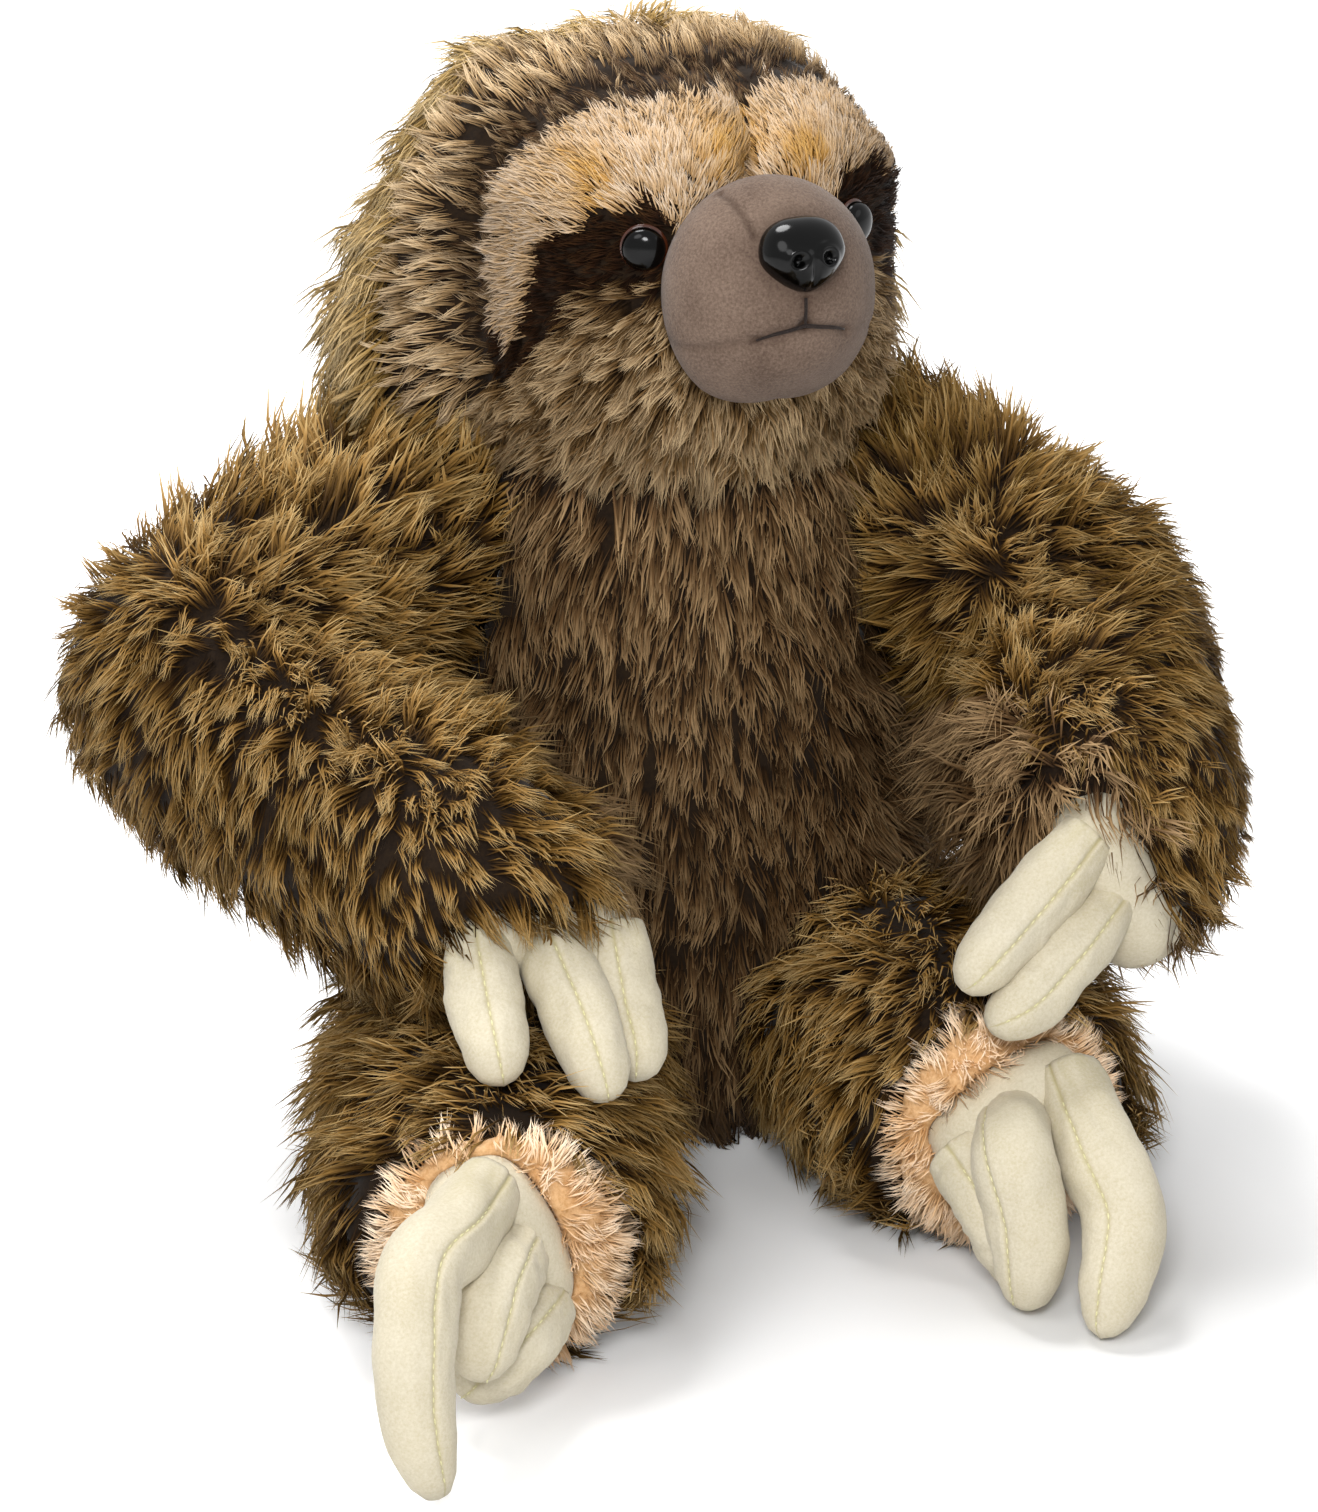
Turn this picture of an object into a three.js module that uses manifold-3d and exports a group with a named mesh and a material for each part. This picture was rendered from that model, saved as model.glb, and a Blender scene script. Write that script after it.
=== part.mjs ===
// A plush sloth that sits upright, as the sewn panels, fillings and hard trims it is made of.
// Millimetres, +Z up. The toy faces -Y, and its own left side is +X.
// The origin is the middle of the flat seat, on the surface that the toy sits on.
import * as THREE from "three";
import { mergeVertices } from "three/addons/utils/BufferGeometryUtils.js";
import Module from "manifold-3d";

const wasm = await Module();
wasm.setup();

// Fits and fabrics
const SEAM_GAP = 0.3; // air between two pieces that are sewn or packed together
const TURN_GAP = 0.8; // air round a seam that turns
const PILE_CLOTH = 3; // pile fabric with the dense foot of its pile
const VELOUR = 2; // short velour of the muzzle
const OVERRUN = 6; // how far a cut runs past what it cuts
const FLOOR_CUT = 0.5; // how deep the seat and the thighs are pressed flat

// Torso
const TORSO_HEIGHT = 190; // from the seat to the neck seam
const TORSO_HALF_WIDTH = 65;
const TORSO_HALF_DEPTH = 54;
const BIB_SEAM_FORWARD = 24; // from the middle of the torso to the seam of the bib
const PELLET_BAG_TOP = 30;

// Head, measured from its own middle
const HEAD_RISE = 49.5; // from the neck seam to the middle of the head
const HEAD_TOP = 48; // from the middle of the head to the crown
const HEAD_HALF_WIDTH = 57;
const HEAD_HALF_DEPTH = 58;
const HOOD_FULLNESS = 0.6; // power of the section behind the face: 1 is an oval, less is squarer
const HOOD_FLARE_SHARE = 0.62; // by which the hood widens from its middle down to the neck
const HOOD_FLARE_TOP_SHARE = 0.4; // of the crown's height, where it starts to widen
const HEAD_FORWARD = 8;
const HEAD_ASIDE = 3;
const HEAD_TURN = 8; // degrees, towards the toy's left
const HOOD_SEAM_BACK = 20; // from the middle of the head back to the seam of the hood
const FACE_SEAM_FORWARD = 10; // from there forward to where the face panels end

// Muzzle, nose and mouth
const MUZZLE_HALF_WIDTH = 27;
const MUZZLE_HALF_HEIGHT = 28;
const MUZZLE_LENGTH = 23; // from its widest section to its tip
const MUZZLE_FORWARD = 59; // from the middle of the head to its widest section
const MUZZLE_LIFT = 3; // above the middle of the head
const CHIN_SEAM_DROP = 10; // from the middle of the muzzle down to the seam of the chin
const NOSE_HALF_WIDTH = 10.5;
const NOSE_HALF_HEIGHT = 9.5;
const NOSE_DEPTH = 8;
const NOSE_LIFT = 14; // above the middle of the muzzle
const NOSE_TILT = 24; // degrees, upwards
const NOSTRIL_RADIUS = 2.3;
const NOSTRIL_SPREAD = 4.2;
const THREAD_RADIUS = 0.7;
const MOUTH_DROP = 3.5; // below the middle of the muzzle, where the stitches meet
const MOUTH_HALF_WIDTH = 11.5;
const MOUTH_SAG = 2;
const LIP_LENGTH = 7; // the upright stitch under the nose

// Eyes, and the shanks and washers that hold the eyes and the nose
const EYE_RADIUS = 4.8;
const EYE_BULGE = 4;
const EYE_SPREAD = 28.2; // from the middle of the face
const EYE_LIFT = 13; // above the middle of the head
const EYE_TURN = 29; // degrees, outwards
const EYE_STANDOFF = 1.2; // from the oval of the face to the back of the eye
const SHANK_RADIUS = 1.8;
const SHANK_LENGTH = 12;
const WASHER_RADIUS = 6;
const WASHER_THICKNESS = 1.6;
const WASHER_STANDOFF = 7; // from the face of the cloth to the front of the washer

// Arms: the shoulder is a ball seat in the side of the torso
const SHOULDER_RADIUS = 29;
const SHOULDER_OUT = 60;
const SHOULDER_BACK = 8;
const SHOULDER_HEIGHT = 157;
const ELBOW_RADIUS = 38;
const CUFF_RADIUS = 31;
const CUFF_DEPTH = 5; // from the middle of the palm to the rim of the cuff

// Legs: the hip is a ball seat in the front of the torso
const HIP_RADIUS = 33;
const HIP_OUT = 49;
const HIP_FORWARD = 29;
const LEG_HALF_WIDTH = 40;
const LEG_HALF_HEIGHT = 34;
const SOLE_HALF_WIDTH = 30;
const SOLE_HALF_HEIGHT = 31;
const SOLE_DEPTH = 14;
const FOOT_ROOT_LIFT = 4.5; // above the middle of the sole
const FOOT_ROOT_FORWARD = 10; // ahead of the ankle seam

// Hands and feet: each is a velour barrel that turns about its own length, with three claws
const PALM_RADIUS = 14;
const PALM_HALF_LENGTH = 24;
const HAND_CLAW_LENGTH = 45;
const HAND_CLAW_RADIUS = 9.8;
const FOOT_ROOT_RADIUS = 15;
const FOOT_ROOT_HALF_LENGTH = 22;
const FOOT_CLAW_LENGTH = 60;
const FOOT_CLAW_RADIUS = 10.8;

// Turns at the joints, degrees
const ARM_LIFT = 35;
const LEG_SPLAY = 25;

// How each hand is turned about X, Y and Z, and each leg and foot about its own upright and length, degrees
const RIGHT_HAND_TURN = [41, 6, 8];
const LEFT_HAND_TURN = [73, 65, 6];
const RIGHT_LEG_TURN = -14;
const LEFT_LEG_TURN = 6;
const RIGHT_FOOT_TURN = 66;
const LEFT_FOOT_TURN = -30;

// What differs between the two sides: the places of the elbow, cuff and hand, and the leg's length
const ARM_POSES = {
  right: {
    side: -1,
    elbowOut: 117, elbowForward: 4, elbowHeight: 126,
    cuffOut: 69, cuffForward: 101, cuffHeight: 99,
    handOut: 60, handForward: 108, handHeight: 97,
    handTurn: RIGHT_HAND_TURN,
  },
  left: {
    side: 1,
    elbowOut: 106, elbowForward: 24, elbowHeight: 123,
    cuffOut: 99, cuffForward: 97, cuffHeight: 100,
    handOut: 91, handForward: 111, handHeight: 93,
    handTurn: LEFT_HAND_TURN,
  },
};
const LEG_POSES = {
  right: { side: -1, length: 134, legTurn: RIGHT_LEG_TURN, footTurn: RIGHT_FOOT_TURN },
  left: { side: 1, length: 96, legTurn: LEFT_LEG_TURN, footTurn: LEFT_FOOT_TURN },
};

// Rings of the torso: height, half width, half depth and forward shift, as shares of its sizes
const TORSO_SHARES = [
  [0.0, 0.5, 0.5, 0.0],
  [0.02, 0.76, 0.76, 0.0],
  [0.1, 0.93, 0.93, 0.0],
  [0.27, 1.0, 1.0, 0.02],
  [0.46, 0.97, 0.98, 0.05],
  [0.64, 0.89, 0.93, 0.06],
  [0.8, 0.81, 0.88, 0.04],
  [0.92, 0.75, 0.83, 0.02],
  [1.0, 0.72, 0.8, 0.0],
];
// Rings of the head: height up to the crown, half width, half depth and backward shift, as shares
const HEAD_SHARES = [
  [-0.92, 0.86, 0.83, 0.12],
  [-0.68, 0.94, 0.92, 0.1],
  [-0.3, 0.99, 0.98, 0.07],
  [0.1, 1.0, 1.0, 0.05],
  [0.46, 0.93, 0.95, 0.05],
  [0.75, 0.74, 0.79, 0.07],
  [0.93, 0.45, 0.53, 0.08],
  [1.0, 0.0, 0.0, 0.09],
];
// Sections along a limb or a claw: place along it, and two radii as shares of its radius
const LEG_SHARES = [
  [0.0, 0.88, 0.93],
  [0.3, 0.97, 1.0],
  [0.6, 1.0, 1.0],
  [0.85, 0.92, 0.94],
  [1.0, 0.82, 0.87],
];
const CLAW_SHARES = [
  [0.0, 0.9, 0.8],
  [0.25, 0.96, 0.84],
  [0.5, 1.0, 0.88],
  [0.75, 0.95, 0.84],
  [0.92, 0.68, 0.62],
  [1.0, 0.0, 0.0],
];
const THREAD_SHARES = [
  [0, 1, 1],
  [1 / 3, 1, 1],
  [2 / 3, 1, 1],
  [1, 1, 1],
];
// Face outlines on one side, seen from the front, as shares of the head's half width and height
const BROW_SHARES = [
  [0.0, 0.94],
  [0.3, 0.93],
  [0.55, 0.84],
  [0.78, 0.68],
  [0.98, 0.4],
  [1.1, 0.02],
  [1.06, -0.28],
  [0.94, -0.3],
  [0.9, 0.08],
  [0.82, 0.36],
  [0.66, 0.5],
  [0.42, 0.56],
  [0.27, 0.36],
  [0.0, 0.34],
];
const EYE_PATCH_SHARES = [
  [0.27, 0.62],
  [0.66, 0.62],
  [0.86, 0.42],
  [1.06, 0.0],
  [1.06, -0.5],
  [0.86, -0.64],
  [0.8, -0.3],
  [0.66, 0.0],
  [0.5, 0.08],
  [0.36, 0.12],
  [0.2, 0.3],
];
const RUFF_BOTTOM_SHARES = [
  [-1.2, -1.5],
  [1.2, -1.5],
];
const RUFF_TOP_SHARES = [
  [1.2, -0.56],
  [0.86, -0.64],
  [0.8, -0.3],
  [0.66, 0.0],
  [0.5, 0.08],
  [0.36, 0.12],
  [0.0, 0.12],
];

// Each claw: its seam along the barrel as a share of the barrel's half length, then its bends as shares
// of the claw's length: sideways, ahead of the barrel, and up
const HAND_CLAW_SHARES = {
  right: [
    [-0.75, [-0.02, 0.24, 0.07], [-0.04, 0.51, 0.09], [-0.02, 0.67, 0.04]],
    [0.0, [0.07, 0.38, 0.15], [0.1, 0.69, 0.15], [0.13, 0.84, 0.09]],
    [0.75, [0.0, 0.29, 0.0], [0.0, 0.53, 0.0], [-0.02, 0.67, -0.04]],
  ],
  left: [
    [-0.75, [0.11, 0.33, 0.07], [0.16, 0.71, 0.09], [0.2, 0.93, 0.09]],
    [0.0, [0.04, 0.33, 0.18], [0.07, 0.69, 0.2], [0.04, 0.93, 0.18]],
    [0.3, [-0.1, 0.21, -0.22], [-0.12, 0.48, -0.29], [-0.12, 0.7, -0.26]],
  ],
};
const FOOT_CLAW_SHARES = {
  right: [
    [-0.75, [-0.05, 0.22, -0.03], [-0.08, 0.47, -0.16], [0.1, 0.67, -0.27], [0.41, 0.75, -0.39],
      [0.72, 0.75, -0.45]],
    [0.0, [-0.03, 0.2, 0.0], [0.06, 0.32, -0.08], [0.22, 0.36, -0.2]],
    [0.75, [-0.03, 0.1, -0.05], [0.02, 0.12, -0.18], [0.1, 0.08, -0.32]],
  ],
  left: [
    [-0.75, [-0.02, 0.1, -0.07], [-0.05, 0.13, -0.25], [-0.08, 0.08, -0.45]],
    [0.0, [-0.15, 0.17, 0.13], [-0.25, 0.28, -0.08], [-0.37, 0.3, -0.3], [-0.45, 0.28, -0.43]],
    [0.75, [-0.12, 0.22, -0.08], [-0.2, 0.42, -0.26], [-0.41, 0.56, -0.42], [-0.57, 0.63, -0.53]],
  ],
};

// Counts
const TORSO_SIDES = 18;
const TORSO_RINGS = 7;
const HEAD_SIDES = 18;
const HEAD_RINGS = 7;
const LIMB_SIDES = 12;
const LIMB_RINGS = 6;
const CAP_RINGS = 2;
const CORE_SHARE = 2 / 3; // the sides of a filling, against those of its cloth
const JOINT_STEPS = 2;
const CLAW_SIDES = 8;
const CLAW_RINGS = 6;
const ROUND_SIDES = 16;
const THREAD_SIDES = 6;
const BARREL_SIDES = 12;
const BARREL_STEPS = 7;

// Colours and finishes
const finish = (color, roughness) => new THREE.MeshStandardMaterial({ color, roughness, metalness: 0 });
const LONG_PILE = finish("#6f5a35", 0.95);
const BIB_PILE = finish("#5c4c3c", 0.95);
const CROWN_PILE = finish("#8d7556", 0.95);
const BROW_PLUSH = finish("#dcbf94", 0.95);
const PATCH_PLUSH = finish("#3a2818", 0.95);
const RUFF_PILE = finish("#8a7152", 0.95);
const MUZZLE_VELOUR = finish("#8b7a6e", 0.9);
const CLAW_VELOUR = finish("#e4dfb8", 0.9);
const SOLE_PLUSH = finish("#d6ab80", 0.95);
const BLACK_PLASTIC = finish("#0c0c0d", 0.15);
const WASHER_PLASTIC = finish("#d9d9d4", 0.5);
const THREAD = finish("#2a211c", 0.8);
const FIBREFILL = finish("#f2f0ea", 1.0);
const PELLET_CLOTH = finish("#cfc9bb", 0.9);

const radians = THREE.MathUtils.degToRad;
const clamped = (share) => THREE.MathUtils.clamp(share, 0, 1);
const vector = (x, y, z) => new THREE.Vector3(x, y, z);

// Solids: closed geometry in, closed geometry out
function solidOf(geometry, matrix) {
  const plain = new THREE.BufferGeometry();
  plain.setAttribute("position", geometry.getAttribute("position").clone());
  if (geometry.index) plain.setIndex(geometry.index.clone());
  if (matrix) plain.applyMatrix4(matrix);
  const merged = mergeVertices(plain);
  return new wasm.Manifold(new wasm.Mesh({
    numProp: 3,
    vertProperties: merged.getAttribute("position").array,
    triVerts: new Uint32Array(merged.index.array),
  }));
}

function geometryOf(solid) {
  const mesh = solid.getMesh();
  const geometry = new THREE.BufferGeometry();
  geometry.setAttribute("position", new THREE.BufferAttribute(new Float32Array(mesh.vertProperties), 3));
  geometry.setIndex(new THREE.BufferAttribute(new Uint32Array(mesh.triVerts), 1));
  return geometry;
}

function placed(position, turn = [0, 0, 0]) {
  const euler = new THREE.Euler(radians(turn[0]), radians(turn[1]), radians(turn[2]), "ZYX");
  return new THREE.Matrix4().compose(position, new THREE.Quaternion().setFromEuler(euler), vector(1, 1, 1));
}

// Rings of as many points each, closed at both ends. Each ring turns anticlockwise about the way on.
function loft(rings) {
  const sides = rings[0].length;
  const positions = rings.flat().flatMap((p) => [p.x, p.y, p.z]);
  const faces = [];
  for (let i = 0; i + 1 < rings.length; i++)
    for (let j = 0; j < sides; j++) {
      const next = (j + 1) % sides;
      const [a, b] = [i * sides + j, i * sides + next];
      const [c, d] = [a + sides, b + sides];
      faces.push(a, b, d, a, d, c);
    }
  const closeEnd = (ring, start, reverse) => {
    const middle = ring.reduce((sum, p) => sum.add(p), vector(0, 0, 0)).divideScalar(sides);
    const centre = positions.length / 3;
    positions.push(middle.x, middle.y, middle.z);
    for (let j = 0; j < sides; j++) {
      const [p, q] = [start + j, start + (j + 1) % sides];
      faces.push(centre, reverse ? q : p, reverse ? p : q);
    }
  };
  closeEnd(rings[0], 0, true);
  closeEnd(rings[rings.length - 1], (rings.length - 1) * sides, false);
  const geometry = new THREE.BufferGeometry();
  geometry.setAttribute("position", new THREE.Float32BufferAttribute(positions, 3));
  geometry.setIndex(faces);
  return dropCollapsed(mergeVertices(geometry));
}

// A ring that has shrunk to a point leaves triangles with two corners alike.
function dropCollapsed(geometry) {
  const index = geometry.index.array;
  const kept = [];
  for (let i = 0; i < index.length; i += 3) {
    const [a, b, c] = [index[i], index[i + 1], index[i + 2]];
    if (a !== b && b !== c && c !== a) kept.push(a, b, c);
  }
  geometry.setIndex(kept);
  return geometry;
}

// Rows of shares as a smooth table with more rows
function smoothRows(rows, count) {
  const through = (columns) =>
    new THREE.CatmullRomCurve3(rows.map((row) => vector(...columns.map((k) => row[k] ?? 0))))
      .getPoints(count);
  const [first, second] = [through([0, 1, 2]), through([0, 1, 3])];
  return first.map((p, i) => [p.x, Math.max(p.y, 0), Math.max(p.z, 0), second[i].z]);
}

const sidesOf = (sides, grow) => (grow < 0 ? sides * CORE_SHARE : sides);

function oval(z, halfWidth, halfDepth, middleY, sides) {
  return Array.from({ length: sides }, (_, j) => {
    const angle = (2 * Math.PI * j) / sides;
    return vector(halfWidth * Math.cos(angle), middleY + halfDepth * Math.sin(angle), z);
  });
}

// A tube along a smooth route. The first radius of its first row lies along the reference direction,
// and the later rows keep to it without a twist.
function sweptTube(route, rows, radius, grow, sides, reference) {
  const curve = new THREE.CatmullRomCurve3(route);
  const lift = reference.clone();
  return loft(rows.map(([along, first, second]) => {
    const tangent = curve.getTangentAt(along);
    lift.addScaledVector(tangent, -lift.dot(tangent)).normalize();
    const across = tangent.clone().cross(lift);
    const size = (share) => Math.max(share * radius + grow, 0);
    return Array.from({ length: sides }, (_, j) => {
      const angle = (2 * Math.PI * j) / sides;
      return curve.getPointAt(along)
        .addScaledVector(lift, size(first) * Math.cos(angle))
        .addScaledVector(across, size(second) * Math.sin(angle));
    });
  }));
}

// A block that holds everything on one side of a plane, in the frame of a matrix
const REACH = 4 * TORSO_HEIGHT;
function halfSpace(direction, distance, matrix = new THREE.Matrix4()) {
  const toBlock = direction.clone().multiplyScalar(distance + REACH / 2);
  const turn = new THREE.Quaternion().setFromUnitVectors(vector(0, 0, 1), direction);
  const local = new THREE.Matrix4().compose(toBlock, turn, vector(1, 1, 1));
  return solidOf(new THREE.BoxGeometry(REACH, REACH, REACH), matrix.clone().multiply(local));
}

const BELOW_FLOOR = halfSpace(vector(0, 0, -1), 0);
const ABOVE_NECK = halfSpace(vector(0, 0, 1), TORSO_HEIGHT);

// Its poles lie on its own Y axis, which `turn` lays along the axis of a joint.
function ball(centre, radius, turn) {
  return solidOf(new THREE.SphereGeometry(radius, ROUND_SIDES, ROUND_SIDES / 2), placed(centre, turn));
}

function rod(radius, from, to, matrix) {
  const geometry = new THREE.CylinderGeometry(radius, radius, to - from, ROUND_SIDES / 2);
  geometry.translate(0, (from + to) / 2, 0);
  return solidOf(geometry, matrix);
}

function mesh(name, shape, material, matrix) {
  const made = new THREE.Mesh(shape.isBufferGeometry ? shape : geometryOf(shape), material);
  made.name = name;
  if (matrix) made.applyMatrix4(matrix);
  return made;
}

// Torso

function torsoSolid(grow) {
  const bottom = -FLOOR_CUT - grow;
  const top = TORSO_HEIGHT + OVERRUN;
  return solidOf(loft(smoothRows(TORSO_SHARES, TORSO_RINGS).map(([height, width, depth, forward]) =>
    oval(bottom + height * (top - bottom), width * TORSO_HALF_WIDTH + grow,
      depth * TORSO_HALF_DEPTH + grow, -forward * TORSO_HALF_DEPTH, sidesOf(TORSO_SIDES, grow)))));
}

const shoulderCentre = (side) => vector(side * SHOULDER_OUT, SHOULDER_BACK, SHOULDER_HEIGHT);
const hipCentre = (side) => vector(side * HIP_OUT, -HIP_FORWARD, LEG_HALF_HEIGHT - FLOOR_CUT);

function makeTorso() {
  const sockets = [-1, 1].flatMap((side) => [
    ball(shoulderCentre(side), SHOULDER_RADIUS + TURN_GAP, [0, 0, 90]),
    ball(hipCentre(side), HIP_RADIUS + TURN_GAP, [90, 0, 0]),
  ]);
  const cutters = sockets.reduce((sum, socket) => sum.add(socket), BELOW_FLOOR.add(ABOVE_NECK));
  const skin = torsoSolid(0).subtract(torsoSolid(-PILE_CLOTH)).subtract(cutters);
  const filling = torsoSolid(-PILE_CLOTH - SEAM_GAP).subtract(cutters);
  const bibSide = (gap) => halfSpace(vector(0, -1, 0), BIB_SEAM_FORWARD + gap);
  const bagSide = (gap) => halfSpace(vector(0, 0, -1), gap - PELLET_BAG_TOP);
  return [
    mesh("torso_back_panel", skin.subtract(bibSide(-SEAM_GAP / 2)), LONG_PILE),
    mesh("torso_bib_panel", skin.intersect(bibSide(SEAM_GAP / 2)), BIB_PILE),
    mesh("torso_stuffing", filling.subtract(bagSide(-SEAM_GAP / 2)), FIBREFILL),
    mesh("pellet_bag", filling.intersect(bagSide(SEAM_GAP / 2)), PELLET_CLOTH),
  ];
}

// Head, in the frame of its own middle

const headRows = smoothRows(HEAD_SHARES, HEAD_RINGS);

// Moves a point of an oval section outwards where it lies behind the face: squarer, and wider at the neck
function fullerBehind(p, halfWidth, middleY, height) {
  if (p.y <= middleY || halfWidth <= 0) return p;
  const share = Math.abs(p.x) / halfWidth;
  const low = clamped((HOOD_FLARE_TOP_SHARE - height) / (1 + HOOD_FLARE_TOP_SHARE));
  const behind = clamped((p.y - middleY) / (HEAD_HALF_DEPTH / 2));
  const flare = 1 + HOOD_FLARE_SHARE * low * behind;
  return vector(Math.sign(p.x) * halfWidth * flare * share ** HOOD_FULLNESS, p.y, p.z);
}

function headSolid(grow) {
  const rings = headRows.map(([height, width, depth, back]) => {
    const shrink = width > 0 ? grow : 0;
    const rise = height > 0 ? height * (HEAD_TOP + grow) : height * HEAD_TOP;
    const section = oval(rise, width * HEAD_HALF_WIDTH + shrink, depth * HEAD_HALF_DEPTH + shrink,
      back * HEAD_HALF_DEPTH, sidesOf(HEAD_SIDES, grow));
    return section.map((p) =>
      fullerBehind(p, width * HEAD_HALF_WIDTH + shrink, back * HEAD_HALF_DEPTH, height));
  });
  const neckRing = rings[0].map((p) => vector(p.x, p.y, -HEAD_RISE - OVERRUN));
  return solidOf(loft([neckRing, ...rings]));
}

// Where the face of the cloth lies at a place seen from the front
function faceY(x, z) {
  const share = z / HEAD_TOP;
  const above = headRows.findIndex((row) => row[0] > share);
  const [low, high] = [headRows[above - 1], headRows[above]];
  const mix = (share - low[0]) / (high[0] - low[0]);
  const [width, depth, back] = [1, 2, 3].map((k) => low[k] + mix * (high[k] - low[k]));
  const across = x / (width * HEAD_HALF_WIDTH);
  return back * HEAD_HALF_DEPTH - depth * HEAD_HALF_DEPTH * Math.sqrt(1 - across * across);
}

// A prism through the face from an outline, which grows along its own normals
function facePrism(outline, grow, backEnd) {
  const grown = outline.map((point, i) => {
    const before = outline[(i + outline.length - 1) % outline.length];
    const after = outline[(i + 1) % outline.length];
    const run = after.clone().sub(before).normalize();
    return new THREE.Vector2(point.x + grow * run.y, point.y - grow * run.x);
  });
  const length = backEnd + HEAD_HALF_DEPTH + OVERRUN;
  const geometry = new THREE.ExtrudeGeometry(new THREE.Shape(grown), { depth: length, bevelEnabled: false });
  return solidOf(geometry, placed(vector(0, backEnd, 0), [90, 0, 0]));
}

function faceOutline(shares, side) {
  const points = shares.map(([x, z]) => new THREE.Vector2(side * x * HEAD_HALF_WIDTH, z * HEAD_TOP));
  return THREE.ShapeUtils.area(points) > 0 ? points : points.reverse();
}

function mirrored(shares) {
  const inner = shares.filter(([x]) => x > 0);
  return [...shares, ...inner.reverse().map(([x, z]) => [-x, z])];
}

function muzzleSolid(grow) {
  const geometry = new THREE.SphereGeometry(1, ROUND_SIDES, ROUND_SIDES / 2);
  geometry.scale(MUZZLE_HALF_WIDTH + grow, MUZZLE_LENGTH + grow, MUZZLE_HALF_HEIGHT + grow);
  return solidOf(geometry, placed(vector(0, -MUZZLE_FORWARD, MUZZLE_LIFT)));
}

function muzzleY(x, z, grow) {
  const across = x / (MUZZLE_HALF_WIDTH + grow);
  const up = (z - MUZZLE_LIFT) / (MUZZLE_HALF_HEIGHT + grow);
  return -MUZZLE_FORWARD - (MUZZLE_LENGTH + grow) * Math.sqrt(1 - across * across - up * up);
}

// The frame of a hard trim: its own -Y leaves the cloth, and its shank runs along +Y
const noseHeight = MUZZLE_LIFT + NOSE_LIFT;
const nosePlace = placed(vector(0, muzzleY(0, noseHeight, 0), noseHeight), [-NOSE_TILT, 0, 0]);
const eyePlace = (side) =>
  placed(vector(side * EYE_SPREAD, faceY(EYE_SPREAD, EYE_LIFT) - EYE_STANDOFF, EYE_LIFT),
    [0, 0, side * EYE_TURN]);

function shankHole(place) {
  return rod(SHANK_RADIUS + SEAM_GAP, -OVERRUN, SHANK_LENGTH + SEAM_GAP, place);
}

function washerPocket(place) {
  const front = WASHER_STANDOFF - SEAM_GAP;
  return rod(WASHER_RADIUS + SEAM_GAP, front - OVERRUN, WASHER_STANDOFF + WASHER_THICKNESS + SEAM_GAP, place)
    .add(shankHole(place));
}

// The room of the washer alone, which the cloth keeps clear of
function washerRoom(place) {
  return rod(WASHER_RADIUS + SEAM_GAP, WASHER_STANDOFF - SEAM_GAP,
    WASHER_STANDOFF + WASHER_THICKNESS + SEAM_GAP, place).add(shankHole(place));
}

function washer(place) {
  const disc = rod(WASHER_RADIUS, WASHER_STANDOFF, WASHER_STANDOFF + WASHER_THICKNESS, place);
  return disc.subtract(shankHole(place));
}

function makeEye(side) {
  const place = eyePlace(side);
  const dome = new THREE.SphereGeometry(1, ROUND_SIDES, ROUND_SIDES / 2);
  dome.scale(EYE_RADIUS, EYE_BULGE, EYE_RADIUS);
  return solidOf(dome, place).subtract(halfSpace(vector(0, 1, 0), 0, place))
    .add(rod(SHANK_RADIUS, -EYE_BULGE / 2, SHANK_LENGTH, place));
}

function makeNose() {
  const nose = new THREE.SphereGeometry(1, ROUND_SIDES, ROUND_SIDES / 2);
  nose.scale(NOSE_HALF_WIDTH, NOSE_DEPTH, NOSE_HALF_HEIGHT);
  const nostrils = [-1, 1].map((side) =>
    solidOf(new THREE.SphereGeometry(NOSTRIL_RADIUS, ROUND_SIDES / 2, ROUND_SIDES / 4),
      nosePlace.clone().multiply(placed(vector(side * NOSTRIL_SPREAD, -NOSE_DEPTH, -NOSTRIL_RADIUS)))));
  return solidOf(nose, nosePlace).subtract(nostrils[0]).subtract(nostrils[1])
    .subtract(muzzleSolid(SEAM_GAP))
    .add(rod(SHANK_RADIUS, -NOSE_DEPTH / 2, SHANK_LENGTH, nosePlace));
}

function makeMouthStitch() {
  const height = SEAM_GAP + 2 * THREAD_RADIUS;
  const onMuzzle = (x, z) => vector(x, muzzleY(x, z, height), z);
  const mouthHeight = MUZZLE_LIFT - MOUTH_DROP;
  const meeting = [0, mouthHeight];
  const lipTop = [0, mouthHeight + LIP_LENGTH];
  const thread = (from, to, sag) => {
    const route = THREAD_SHARES.map(([share]) =>
      onMuzzle(from[0] + share * (to[0] - from[0]),
        from[1] + share * (to[1] - from[1]) - share * share * sag));
    return solidOf(sweptTube(route, THREAD_SHARES, THREAD_RADIUS, 0, THREAD_SIDES, vector(0, 1, 0)));
  };
  return thread(lipTop, [0, mouthHeight - THREAD_RADIUS], 0)
    .add(thread(meeting, [-MOUTH_HALF_WIDTH, mouthHeight], MOUTH_SAG))
    .add(thread(meeting, [MOUTH_HALF_WIDTH, mouthHeight], MOUTH_SAG));
}

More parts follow.
